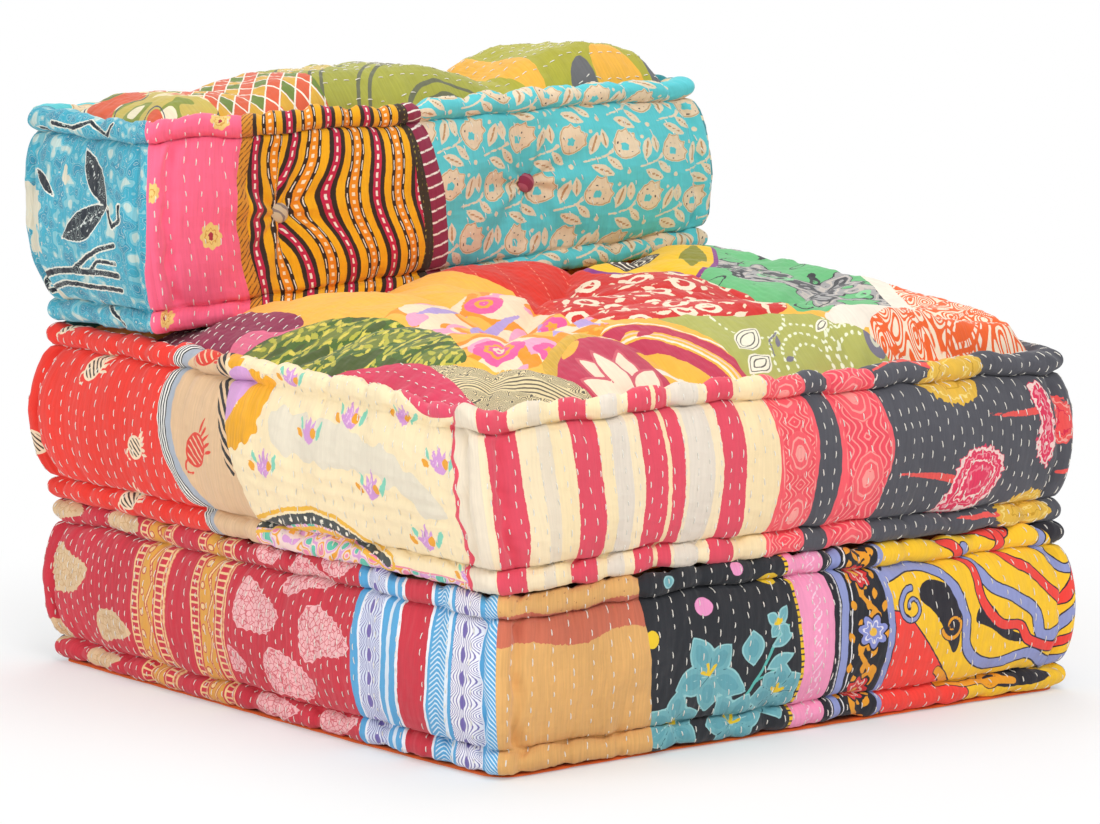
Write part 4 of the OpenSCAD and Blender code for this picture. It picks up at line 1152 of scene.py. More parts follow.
seat_front = [
    patch("crimson_striped_cotton", "#F6E2BC", ink=lambda x, y: x - front_bow(y), ramp=(0, seat_stripes),
        mottle=0.07, ragged=0.05, rows=(1.42, 1.5, False, front_bow)),
    patch("coral_border_cotton", "#F9606A", strip(WALL, [-3.2, -2.9, -2, -2.9, -3.4]),
        lambda x, y: brocade(x - 0.8 * bulge(y), y + 1.4, -0.6, 2.5, 6),
        combs=[(0, 0.62, 0.09, "#FFA49C", 1), (2, 0.62, 0.09, "#FFA098", 3)],
        layers=[(3, "#F4525F"), (4, "#FFA79E"), (5, "#FFA49C")], rows=(2.1, 1.6)),
    patch("charcoal_cotton", "#54545B", strip(WALL, [1.7, 2.2, 3, 2.2, 1.5]), mottle=0.14,
        rows=(1.15, 1.5, False, lambda y: 0.8 * bulge(y))),
    patch("coral_medallion_cotton", "#F9606A", strip(WALL, [4.7, 5, 5.9, 5.1, 4.7]),
        lambda x, y: brocade(x - 1.1 * bulge(y), y - 0.2, 7.9, 3.1, 8.2),
        combs=[(0, 0.72, 0.1, "#FF9C96", 1), (2, 0.8, 0.1, "#FF9C96", 3)],
        layers=[(3, "#F25060"), (4, "#FF9C96"), (5, "#FF9C96")], rows=(2.4, 1.6)),
    patch("charcoal_tree_cotton", "#54545B", strip(WALL, [10.6, 11.3, 12.5, 11.3, 10.5]),
        lambda x, y: (union(feathered(x, y, crown_a, 1), feathered(x, y, crown_b, 2)),
        feathered(x, y, [(34.4, 10.9), (36.4, 10.4), (38.3, 8.4), (37.6, 6.4), (35.4, 5.4), (34.2, 6.8),
        (35, 8.6)], 3), many(stroke, x, y, ([(13, 4.4), (15.4, 4.1), (18, 3.9), (20.8, 3.3)], 0.08, 0.42),
        ([(25.2, 9.4), (27.4, 8.9), (29.4, 9.1), (32.4, 9.3)], 0.08, 0.38),
        ([(11, 15.6), (13.6, 16.3), (16.4, 16.2), (18.6, 15.4)], 0.12, 0.45),
        ([(22.6, -1.2), (25, -1.5), (28.8, -1.3)], 0.1, 0.4), ([(36.2, 2.8), (38, 2.9)], 0.2, 0.3)),
        union(feathered(x, y, [(17.4, 13), (19, 11.4), (21.2, 10.5), (23.8, 10.8), (25.4, 12.6), (26, 14.6),
        (25, 18.6), (20.2, 18.6), (18.4, 15.4)], 4), feathered(x, y, [(28.2, -3.4), (28.6, -0.4), (31, 1.2),
        (33.6, 1.4), (35.8, 0.2), (35.4, -3.4)], 5)), bars(hypot(x - 21.9, y - 13.9) * 1.4
        + 0.6 * ripple(x, y, 1, 3, 8, 6), 1, 0.2)), layers=[(2, "#EF5A55"), (1, "#EE5A58"),
        (1, "#F6A79A", -0.5, -0.32), (1, "#D93350", -1.1, -0.95), (0, "#E5395F"),
        (0, "#F8D6CF", -0.42, -0.1), (0, "#F49AA4", -0.95, -0.8), (0, "#F9D9D0", -1.45, -1.25),
        (0, "#F07C8E", -2.2, -2), (3, "#E5B745"), (3, "#F3D67C", -0.7, -0.5), (3, "#CB9A2C", -1.6, -1.4),
        (3, "#F3D67C", -2.4, -2.2)], mottle=0.14, ragged=0.07, rows=(1.32, 1.5, False,
        lambda y: 0.7 * sin(y / 4)))]
posies = [(13, 9.7), (19.5, 11.6), (5.2, 5.8), (23.6, 5.8), (28.2, 13.2), (34.2, 9.7), (31, 2), (8.6, 14.7),
    (36.4, -1.2), (14.6, 17.6)]
fruit = [(-28, 11.6, 1.3, 0.3), (-18.3, 4.9, 1.15, 0.2), (-39, 3.3, 1.2, 0), (-22.2, -1.1, 1.3, 0.4),
    (-36, 15.8, 1, 0.3), (-33.4, 7, 0.01, 0)]


def posy(x, y):
    """Little printed flowers: a fan of five lilac petals, an orange heart and teal leaves beside."""
    lilac = union(*[leaf(x, y, a, b - 1.3, a + c, b + d, 0.27) for a, b in posies
        for c, d in ((-1.7, 0.3), (-1.0, 1.2), (-0.1, 1.7), (0.8, 1.1), (1.3, 0.2))])
    heart = union(*[union(disc(x, y, a + 0.7, b - 0.2, 0.5), leaf(x, y, a - 1.5, b - 0.8, a - 2.7, b + 0.1,
        0.32)) for a, b in posies])
    teal = union(*[many(leaf, x, y, (a + 1.3, b - 0.9, a + 2.2, b + 1.2, 0.36),
        (a - 1.3, b - 0.2, a - 2.1, b + 1.2, 0.27)) for a, b in posies])
    return lilac, heart, teal


def fringed_fruit(x, y, places):
    """Block-printed gourds: a round body, a curling stalk and a fringed crown, and the inside of
    the body with the field whose comb stripes it."""
    body, fringe = full(x.shape, 99.0), full(x.shape, 99.0)
    for a, b, r, turn in places:
        u = (x - a) * cos(turn) + (y - b) * sin(turn)
        v = (y - b) * cos(turn) - (x - a) * sin(turn)
        body = minimum(body, hypot(u / 1.25, v) - r)
        curl = linspace(0, 4.6, 14)
        fringe = union(fringe, stroke(u, v, stack([-r * (1.3 + 0.42 * sin(curl)),
            -r * (0.5 + 0.42 * cos(curl))], 1), 0.13))
        for k in range(5):
            fringe = union(fringe, leaf(u, v, r * 0.8, r * (k - 2) * 0.3, r * 2.0,
                r * ((k - 2) * 0.55 + 0.2), 0.17))
    return body, fringe, body + 0.24, 0.8 * x + y + 60


arc_line = [(-0.4, -1.5), (2, -0.6), (5.2, 0.3), (9, 1.2), (12.6, 1.6), (16.4, 1.2), (20, 0), (22.6, -1),
    (24.4, -2)]
ticking_seam = [-7.2, -11.8, -14.3, -15.0, -11.4]


def corner_seam(y):
    """Where the wavy seam at the seat's rear left corner runs."""
    return 36.2 + 0.25 * sin(y * 0.9) + 0.2 * sin(y * 2.3)


seat_left = [
    patch("scarlet_cotton", "#EB3B2F", ink=lambda x, y: fringed_fruit(x, y, fruit),
        layers=[(1, "#F7DDBC"), (0, "#F7DDBC")], combs=[(3, 0.62, 0.13, "#4A3A33", 2)],
        rows=(1.75, 1.35, False, lambda y: -0.4 * sin(y / 4))),
    patch("ticking_cotton", "#A9B1BC", strip(WALL, ticking_seam), lambda x, y: (x + 40
        - bowed(y, WALL, ticking_seam), x - 1.7 - bowed(y, WALL, ticking_seam)), layers=[(1, "#F1EEE6")],
        combs=[(0, 0.42, 0.1, "#2F3238", 1)], ragged=0.004),
    patch("natural_gourd_cotton", "#E0BC94", strip(WALL, [-5, -9.2, -11.7, -12.4, -8.8]),
        lambda x, y: fringed_fruit(x, y, [(-6.9, 5.8, 1.6, 0.5), (-7.6, 15.6, 1.3, 0.2)]),
        layers=[(1, "#DE4434"), (0, "#DE4434")], combs=[(3, 0.9, 0.12, "#E7C49E", 2)], mottle=0.12),
    patch("cream_posy_cotton", "#F8E4BA", strip(WALL, [2, 1, -1, -4.6, -4.4]),
        lambda x, y: (*posy(x, y), stroke(x, y, arc_line, 0.5), where(y < interp(x, *array(arc_line).T)
        - 0.3, 1.5 * ripple(x, y, 1.6, 4, 5, 8), 9), union(*[disc(x, y, a, interp(a, *array(arc_line).T),
        0.24) for a in arange(0.6, 23, 1.35)])), layers=[(4, "#F3D7CF", 8), (4, "#63C3A8", -1.2),
        (4, "#DDA0D4", -0.9, -0.2), (4, "#F2A93A", 0.5, 1.1), (4, "#F28AA8", 1.5, 8),
        (3, "#F0B93F", 0.25, 0.65), (3, "#474C4A"), (5, "#F6EFDB"), (0, "#D59BD3"),
        (0, "#F1C8E6", -0.3, -0.18), (1, "#EFA52F"), (2, "#86D2B8")], mottle=0.05, rows=(1.7, 1.6),
        ragged=0.08),
    # Painted shade: a duller, greyer copy of the posy print across the slack stretch of the wall, under the
    # sagging top roll
    patch("posy_cotton_painted_shade", "#E6DCC6", lambda x, y: shape(x, y, [(5, 11), (6.4, 7.2), (12, 6.6), (22, 7),
        (27, 6.4), (33, 3.4), (34.6, 5.6), (27, 9.4), (22, 9.8), (17, 11.2)])
        + 0.3 * ripple(x, y, 2, 5, 3, 6), posy, layers=[(0, "#D59BD3"), (1, "#EFA52F"), (2, "#86D2B8")],
        mottle=0.05, ragged=0.08),
    patch("ochre_blotch_cotton", "#F4AE27", lambda x, y: shape(x, y, [(-3.8, 19.5), (-2, 16.2), (1, 14.4),
        (4.8, 14.6), (4.6, 12), (3.6, 9.2), (2.4, 7.6), (0.4, 6.2), (-1.2, 6.2), (-1.6, 8.8), (-0.4, 10.8),
        (0.4, 12.4), (-1.8, 14.2), (-3.6, 16.2), (-4.6, 19.5)]) + 0.3 * ripple(x, y, 1.2, 4, 9, 6),
        mottle=0.2),
    patch("lilac_scrap_cotton", "#D7A2D4", lambda x, y: shape(x, y, [(-3.4, 12.2), (-3, 14), (-1.4, 15),
        (0.8, 14.8), (0.9, 12.6), (-0.5, 10.4), (-1.9, 8.4)])),
    patch("zebra_edging_cotton", "#E8C49C", lambda x, y: stroke(x, y,
        [(-5.2, 18.5), (-4.2, 14.6), (-3.9, 12.4), (-2.7, 9.6), (-1.5, 7), (-0.5, 4.4)], 1.05, 0.5),
        lambda x, y: (y + 0.9 * x + 40, -1 + 0 * x), combs=[(0, 1, 0.26, "#33302F", 1)]),
    patch("crimson_edging_cotton", "#E34E62", lambda x, y: abs(x - corner_seam(y)) - 0.32, rows=(0.6, 1.5)),
    patch("cream_corner_cotton", "#EADCC5", lambda x, y: corner_seam(y) + 0.3 - x, mottle=0.1),
    patch("crimson_scrap_cotton", "#DE4A66", lambda x, y: shape(x, y,
        [(25.4, 20), (27.4, 16), (29.6, 15.2), (31.6, 14), (34.6, 14.2), (37.4, 15.4), (38.8, 20)]),
        rows=(1.5, 1.4))]
seat_right = [
    patch("charcoal_tree_cotton_2", "#54545B", ink=lambda x, y: (union(
        feathered(x, y, [(-31, 3), (-29.4, 7.4), (-26.4, 7.2), (-25.4, 4), (-27.6, 2)], 6),
        feathered(x, y, [(-14.8, 8.8), (-13.4, 12.4), (-10, 12.2), (-9.2, 9), (-12, 7.4)], 7)),
        many(stroke, x, y, ([(-36, 6), (-33, 5.4), (-30.6, 5.2)], 0.1, 0.4),
        ([(-19.6, 11), (-17, 10.4), (-14.4, 10.4)], 0.1, 0.4))), layers=[(1, "#EF5A55"), (0, "#E5395F"),
        (0, "#F8D6CF", -0.4, -0.15), (0, "#F49AA4", -1.1, -0.95)], mottle=0.14, rows=(1.35, 1.5)),
    patch("ochre_flowered_cotton", "#DFA23B", strip(WALL, [-6, -5.4, -6.2]),
        scatter_of("flower", (-6, 14, -4, 19), 3.9, 14, 1.25, 6), layers=[(0, "#A33A2B"),
        (0, "#F5E0AE", -0.75)], rows=(1.4, 1.45, True)),
    patch("crimson_striped_cotton_2", "#F6E2BC", strip(WALL, [12.8, 13.2, 12.6]),
        lambda x, y: bars(x, 4.4, 0.9), layers=[(0, "#E34E62")], rows=(1.5, 1.5)),
    patch("green_sprigged_cotton", "#5E8C5A", strip(WALL, [27.6, 28, 27.4]),
        lambda x, y: scattered(x, y, (27, 41, -4, 19), 3.2, 15, sprig), layers=[(0, "#F2E3B4")],
        rows=(1.45, 1.5))]
seat_rear = [
    patch("green_paisley_cotton", "#4E8C6A", ink=lambda x, y: lotus(x, y,
        [(a, b, 5.4, 4) for a in (-35, -27.6, -20, -12) for b in (2.6, 9.8, 16.4)], 0.3),
        layers=[(0, "#F0DFB0", -99, 0, 0.9), (0, "#F0DFB0", -0.25, 0)], rows=(1.45, 1.5, True)),
    patch("maroon_cotton", "#7A2A45", strip(WALL, [-8.6, -8.2, -8.8]),
        scatter_of("dot", (-10, 11, -4, 19), 2.6, 16, 0.36), layers=[(0, "#F0C65E")], rows=(1.35, 1.45)),
    patch("turquoise_flowered_cotton", "#4FBAC0", strip(WALL, [9, 9.4, 8.8]),
        scatter_of("flower", (9, 39, -4, 19), 4.6, 17, 1.5), layers=[(0, "#F6EBD0"), (0, "#D9663A", -0.95)],
        rows=(1.5, 1.5, True))]
for side, (name, patches) in enumerate((("front", seat_front), ("right", seat_right), ("rear", seat_rear),
        ("left", seat_left))):
    make_up("seat_%s_border" % name, seat, border_cloth(seat, side, 600 + 20 * side,
        soft=(0.0, 0.365) if side == 3 else None, arch=0.01 if side == 1 else 0), patches,
        700 + side)

# Seat top
# The seat's top is a crazy patchwork over batting, tied down at five tufts, so that it stands up
# in mounds with sharp folds between. The back lies on its rear and presses it to a slope.

seat_tufts = [(0, -0.017)] + [(x, y) for x in (-0.17, 0.17) for y in (-0.18, 0.146)]


def seat_level(x, y):
    """Height of the seat's top before tufting: level with the borders less the groove at its edge,
    crowned 55 mm in front, a third less but steeper near the right edge, and pressed to a slope of 4.4
    degrees where the back lies on it."""
    h, u, v = seat.heights, x / 0.76 + 0.5, y / 0.8 + 0.5
    edge = (h[0] * (1 - u) + h[1] * u) * (1 - v) + (h[3] * (1 - u) + h[2] * u) * v - PINCH
    edge = edge + 0.01 * u ** 3 * sin(pi * clip(v, 0, 1))
    crown = pillow(x, y, seat, 0.14 - 0.118 * ease(x, 0.3)) * ease(0.2 - y, 0.09)
    low = 0.35 * exp(-((x - 0.29) / 0.07) ** 2) * ease(0.08 - y, 0.12)
    low = low + 0.1 * ease(x - 0.1, 0.2) * ease(-0.15 - y, 0.1) + 0.2 * ease(x - 0.27, 0.06) * ease(y, 0.08)
    under = 0.1929 + (x + 0.38) * np.tan(np.radians(4.4)) - 0.0003
    pressed = edge + (under - edge) * pillow(x, y, seat, 0.07)
    return where(y < 0.16, edge + (PINCH + 0.046) * crown * (1 - low), pressed)


def seat_folds(x, y):
    """Depth of the folds from tuft to tuft and to the front corners: 8 to 15 mm * exp(-distance /
    14 mm), less the 4 mm by which the mounds between stand up."""
    t0, t1, t3, t2, t4 = seat_tufts
    folds = 0
    for a, b, depth in ((t1, t0, 0.015), (t0, t2, 0.013), (t1, t3, 0.012), (t2, t4, 0.012), (t0, t3, 0.012),
            (t0, t4, 0.012), (t1, t2, 0.008), (t1, (-0.34, -0.36), 0.010), (t2, (0.34, -0.36), 0.010),
            (t1, (-0.36, -0.04), 0.009), (t1, (-0.1, -0.38), 0.009), (t2, (0.1, -0.38), 0.008),
            (t2, (0.3, -0.11), 0.008)):
        gap = stroke(x, y, [a, b], 0)
        folds = maximum(folds, depth * exp(-gap / 0.014))
    return (folds - 0.004) * ease(0.165 - y, 0.03)


def outline(points):
    """Edge of a patch cut to a rounded outline."""
    return lambda x, y: shape(x, y, points)


zebra_outline = [(9.6, 0.4), (8.4, 5), (13, 9.4), (17.6, 13), (18, 24), (36, 24), (31.6, 10), (26.6, 3),
    (22, -2), (16, -5.4), (13, -4)]


def zebra(x, y):
    """Two dark leaves and the field whose comb stripes them, an olive leaf, a violet hem inside the
    patch's outline, a red disc, and the inside of the dark leaves."""
    leaves = many(leaf, x, y, (11.4, 0.4, 17.2, 7.4, 2.7), (20.4, 8.6, 24.6, 14.6, 2))
    stripes = 0.8 * x - y + 1.2 * sin(0.9 * x + y) + 60
    hem = -shape(x, y, zebra_outline) - 0.55
    olive, red = leaf(x, y, 19.8, -0.4, 27.8, 9, 1.6), disc(x, y, 31, 17.6, 2.4)
    return leaves, stripes, olive, hem, red, leaves + 0.3


seat_top = [
    patch("plain_yellow_cotton", "#FABA4A", mottle=0.1),
    patch("plain_maroon_cotton", "#8E3050", outline([(-38, 22), (-29, 22), (-28.6, 4), (-30, 0.4),
        (-33.5, 2.6), (-36, 5)]), lambda x, y: shape(x, y, [(-34, 8), (-32, 7), (-31.6, 3), (-29.8, 0.8),
        (-32, 0), (-36, 2), (-37, 6)]), layers=[(0, "#E4708F")], mottle=0.16, rows=(1.5, 1.3, True)),
    patch("plain_red_cotton", "#DA3224", outline([(-6, 24), (-4.4, 10.4), (-2.2, 6.6), (-0.4, 2.8),
        (-10.6, -8), (-10, -24), (9, -30), (19, -18), (18, -4), (11, 4), (14, 9), (19, 14), (20, 24)]),
        lambda x, y: bars(x - 0.3 * y, 3.6, 0.07), layers=[(0, "#F08E74")], mottle=0.14),
    patch("red_flowered_cotton", "#CF2E2A", outline([(0, 1.4), (7.8, 2.2), (10.4, 0.2), (13, -4), (17, -7.4),
        (18.8, -13), (18.4, -19), (14, -22.4), (9, -28.2), (7.4, -31), (0, -28.6), (-7, -27), (-10.8, -25),
        (-10.4, -16), (-5, -7)]), lambda x, y: (scatter_of("ring", (-12, 20, -32, 4), 5.2, 21, 1.05)(x, y),
        scatter_of("leaf", (-12, 20, -32, 4), 3.1, 22, 1.05)(x, y), scatter_of("leaf", (-12, 20, -32, 4),
        2.3, 23, 0.5)(x, y)), layers=[(2, "#EFD9B8"), (1, "#F1DEC0"), (0, "#F3E3C8")], ragged=0.1),
    patch("yellow_zebra_leaf_cotton", "#F8C41F", outline(zebra_outline), zebra,
        layers=[(3, "#8C3A86"), (2, "#8D8A2A"), (4, "#DA2C2C"), (0, "#33231F")],
        combs=[(1, 1.1, 0.17, "#F3E7D2", 5)]),
    patch("green_camouflage_cotton", "#6CBB7C", outline([(30, 24), (39, 24), (39, -5), (35, -8.4),
        (30.4, -20), (26, -27), (19, -29.4), (10, -31.6), (7.6, -30.4), (14, -22.4), (18.4, -19),
        (18.8, -13), (17, -7.4), (16, -5.4), (22, -2), (26.6, 3), (31.6, 10)]),
        lambda x, y: (3 * ripple(x, y, 6, 16, 31, 8) + ripple(x, y, 1.6, 4, 32, 6),
        2 * ripple(x, y, 3, 9, 33, 7)), layers=[(0, "#A6A3A2", 0.6, 99), (0, "#C9BFB6", 1.4, 1.9),
        (0, "#3F3F42", 0.5, 0.8), (0, "#4A494C", 2.3, 3.6), (1, "#3A3A3D", 1.7, 2.1),
        (1, "#8FD09A", -3.4, -2.6)], ragged=0.12),
    patch("off_white_cotton", "#F2E6D6", outline([(39, -3), (35, -8.4), (30.4, -20), (26, -27), (19, -29.4),
        (10, -31.6), (13, -35), (20, -34), (28, -30), (33.4, -19), (39, -12)])),
    patch("orange_filigree_cotton", "#F5E2C8", outline([(40, -8), (35.4, -13), (32, -20), (28, -28.4),
        (20, -32.8), (13.4, -34.6), (16.6, -40), (40, -40)]), lambda x, y: (1.1 * ripple(x, y, 1.8, 5, 41, 9)
        + 30, bars(hypot(x - 31, y + 33), 4.2, 0.36), many(leaf, x, y, (36, -16, 33.4, -27, 2.2),
        (23, -37.4, 31.4, -34, 1.7)), -1 + 0 * x, np.arctan2(y + 33, x - 31) * 9),
        layers=[(1, "#EF6328", 0.16), (1, "#F6E3CE"), (2, "#F6E3CE", 0.2), (2, "#EF6328", -0.2, 0.02),
        (2, "#EF6328", -0.8, -0.56), (2, "#EF6328", -1.1)], combs=[(0, 0.8, 0.2, "#EF6328", 3),
        (4, 0.9, 0.17, "#EF6328", 1)]),
    patch("olive_dotted_cotton", "#B2B25F", outline([(-8.6, -26.6), (0, -28.4), (7.4, -30.8), (11, -32.2),
        (15, -35.4), (17, -40), (-3.4, -40), (-3.2, -33), (-5, -29)]),
        lambda x, y: (union(*[maximum(abs(hypot(x - a, y - b) - r) - 0.17,
        abs(mod(np.arctan2(y - b, x - a) * r, 0.75) - 0.37) - 0.22) for a, b, r in ((6, -37, 2.4),
        (6, -37, 3.6), (6, -37, 4.8), (12, -37, 2.6), (12, -37, 3.8), (3, -29, 4), (14, -30, 4))]),
        many(leaf, x, y, (-1.8, -34, 2.6, -31.4, 1.3), (-2.6, -36.6, 1.4, -35, 1.1),
        (8.6, -33.6, 11, -32.6, 0.5)), union(stroke(x, y, [(1.8, -35.2), (2.6, -33.4), (4.2, -32.6)], 0.1),
        leaf(x, y, 3, -34.4, 4, -33, 0.28), leaf(x, y, 2.6, -36, 4, -35.6, 0.28),
        disc(x, y, 14.8, -35.6, 1.2))), layers=[(0, "#EEF0D0"), (1, "#F5EED6"), (1, "#57524C", -0.75, -0.62),
        (1, "#57524C", -0.3, -0.2), (2, "#7D7786"), (2, "#D7D2BC", -1, -0.7)]),
    patch("ochre_scrap_cotton", "#D9AC45", outline([(-26, -34), (-22, -29), (-17, -27.6), (-15, -30),
        (-20, -34), (-24, -37)]), mottle=0.2),
    patch("floral_splash_cotton", "#F9DDBB", outline([(-27.6, -8.4), (-22, -6.6), (-16, -6.2), (-11, -3),
        (-4.6, 2.4), (-1.2, 2.8), (0.2, 0.8), (-5.4, -5), (-10, -9), (-10.4, -25.4), (-14, -27), (-20, -29),
        (-26, -33.4), (-28.4, -30), (-29.8, -25), (-27, -18), (-26, -12)]),
        lambda x, y: (2.4 * ripple(x, y, 4, 10, 51, 8), 2.4 * ripple(x + y, x - y, 5, 12, 52, 7),
        union(bloom(x, y, -26.2, -27.4, 2.6, 7, 0.2, 0.14), bloom(x, y, -18.6, -16, 3, 7, 0, 0.16),
        disc(x, y, -14.2, -8.4, 2), bloom(x, y, -22.6, -31, 1.8, 5, 0, 0.3),
        bloom(x, y, -12.2, -17.2, 1.8, 5, 0, 0.3), disc(x, y, -1.2, 0.2, 1)),
        union(*[leaf(x, y, a, b, c, d, 0.7) for a, b, c, d in ((-24, -10, -16.6, -9), (-21, -13.6, -12, -12),
        (-15.4, -21.8, -11.8, -14.4), (-20.6, -28.6, -14.6, -23), (-24.6, -22.4, -21.8, -17),
        (-12.6, -25.8, -11.2, -19))])), layers=[(0, "#F5982C", 0.5, 2.6), (0, "#F9B94E", 2.2, 99),
        (1, "#F3A4C0", 1.6, 99), (3, "#B9A0D6"), (2, "#F0609E"), (2, "#F9A43A", -1.5, -1.05),
        (2, "#F9D9B8", -2.3, -1.9), (2, "#F0609E", -2.3)], ragged=0.1),
    patch("crimson_ribbon_cotton", "#F6B844", outline([(-15, -27.4), (-10.4, -25.6), (-5.6, -27.6),
        (-3.2, -32), (-3, -40), (-14, -40), (-13, -33), (-15.6, -30)]),
        lambda x, y: (hypot((x + 15) * 0.95, y + 39), many(leaf, x, y, (-14.4, -28.2, -11.6, -28.6, 0.8),
        (-11.6, -30, -8.6, -29.4, 0.5))), layers=[(0, "#C43A56", 7.4, 9.2), (0, "#F9E9D3", 9.5, 9.8),
        (0, "#F3C7B0", 10.1, 10.35), (0, "#C43A56", 10.6, 12), (0, "#F9E9D3", 12.2, 12.5),
        (0, "#F9E9D3", 4.2, 5.2), (1, "#C43A56")], ragged=0.06),
    patch("crimson_petal_cotton", "#C43E58", outline([(-25.6, -35), (-19.4, -29.6), (-14.4, -29.2),
        (-12.4, -33), (-13, -40), (-23, -40)]), lambda x, y: (*[union(*[leaf(x, y, -17.6, -38.6, a, b, 1.5)
        + inner for a, b in held]) for held in ([(-22.6, -35.4), (-18.6, -31.6), (-13.2, -34.8)],
        [(-21, -32.4), (-15.4, -31.8), (-12.8, -38)]) for inner in (0, 0.32)],
        leaf(x, y, -22.6, -32.6, -18.4, -29.8, 0.5)), layers=[(2, "#D4616E"), (3, "#F8DFC4"), (0, "#D4616E"),
        (1, "#F8E3C8"), (4, "#F0B347")]),
    patch("maze_printed_cotton", "#E6D3A4", outline([(-33, -22), (-30.4, -27.6), (-26.6, -32.8),
        (-21.4, -37), (-24, -40), (-38, -40), (-34.6, -30)]), lambda x, y: (
        2.6 * ripple(x, y, 1.3, 3.4, 61, 9) + 30, x + y + 62.5 + 0.4 * sin(x), abs(x + y + 62.5) - 1.6,
        0.1 - abs(x + y + 62.5) + 1.6), combs=[(0, 0.6, 0.13, "#5C5448", 3), (1, 0.65, 0.12, "#5C5448", 2)],
        ragged=0.02),
    patch("green_foliage_cotton", "#4E6A2E", outline([(-40, 6), (-33.6, 4.4), (-31, 2), (-28.6, -1.6),
        (-27, -6), (-25.6, -12), (-26.2, -18), (-28.4, -24.4), (-30, -28), (-32.6, -23), (-35, -15),
        (-40, -8)]), lambda x, y: (scatter_of("leaf", (-38, -24, -30, 6), 1.5, 71, 0.85)(x, y),
        scatter_of("leaf", (-38, -24, -30, 6), 1.9, 72, 0.7)(x, y), 2 * ripple(x, y, 3, 8, 73, 6)),
        layers=[(2, "#758138", 0.9, 99), (0, "#B9B544"), (1, "#DBCB56"), (2, "#4A5A2A", -1.3)], ragged=0.12),
    patch("crimson_scallop_cotton", "#D4405E", outline([(-38, -9), (-34.4, -13), (-33, -18), (-31.8, -23),
        (-32.6, -29), (-33.8, -34), (-33, -40), (-40, -40)]), rows=(1.3, 1.4))]
make_up("seat_top_panel", seat, press("seat", top_cloth(seat, seat_level, seat_tufts, 0.046, 800,
    crease=seat_folds)), seat_top, 820)

# Seat bottom and tufts
# As on the base: canvas below, and five ties of twine from covered buttons to felt washers.

bottom(seat, seat_tufts, 0.015)
seat_points = [seat.place(array([a, b, seat_level(array(a), array(b)) - 0.046])) for a, b in seat_tufts]
dark_cover = covered("dark_striped_button_cotton", "#3A2620", 45.0, "#D8C39A")
buttons("seat_buttons", seat, seat_points, (0, 0, 1), 0.046, [dark_cover])
washers(seat, seat_tufts)
twine(seat, [(a, b, 0.1809) for a, b in seat_tufts], array(seat_points) - (0, 0, 0.0003))

# Back
# The back is a third, narrower cushion laid on the rear of the seat. Twine through it from face to
# face holds a covered button in a hollow on each, which gathers the cloth into pleats.


def in_back(p):
    """Places the back: tilted up 4.4 degrees to the right, on the rear of the seat. Its left end
    swells by 8 mm more than the rest, and the rear top corner there is pulled out by 12 mm."""
    t = np.radians(4.4)
    q = p + array([0.3725, 0, 0.0003])
    up = clip(p[..., 2] / 0.222, 0, 1)
    bulge = exp(-(q[..., 0] / 0.1) ** 2) * sin(pi * up)
    corner = exp(-(hypot(q[..., 0], p[..., 1] - 0.12) / 0.12) ** 2) * up ** 3
    q = q - 0.008 * bulge[..., None] * array([1, 0, 0]) + 0.012 * corner[..., None] * array([-1, 0.3, 0.3])
    return stack([q[..., 0] * cos(t) - q[..., 2] * sin(t) - 0.38, q[..., 1] + 0.28,
        q[..., 0] * sin(t) + q[..., 2] * cos(t) + 0.3732], -1)


BACK_WALL = 15.8  # cloth up the wall of the back, in cm
back = SimpleNamespace(name="back", body="back_cushion", width=0.745, depth=0.24, foot=0.0012,
    heights=(0.222, 0.2, 0.2, 0.228), wall=BACK_WALL, draw_in=0.009, place=in_back)
back_tufts = (-0.2075, 0.1225)


def gathered(x, y):
    """Where the striped cloth's stripes run: they lean to the tuft beside them, by up to 2.4 cm."""
    near = exp(-((y - 8.8) / 3.3) ** 2)
    right = 2.5 * near * exp(-abs(x + 20.8) / 10) * (x > -20.8)
    left = -1.3 * near * exp(-abs(x + 20.8) / 3.0) * (x <= -20.8)
    return x + right + left - 1.3 * exp(-((y - 1.5) / 4) ** 2) * ease(x + 24, 10) + 0.9 * (y > BACK_WALL)


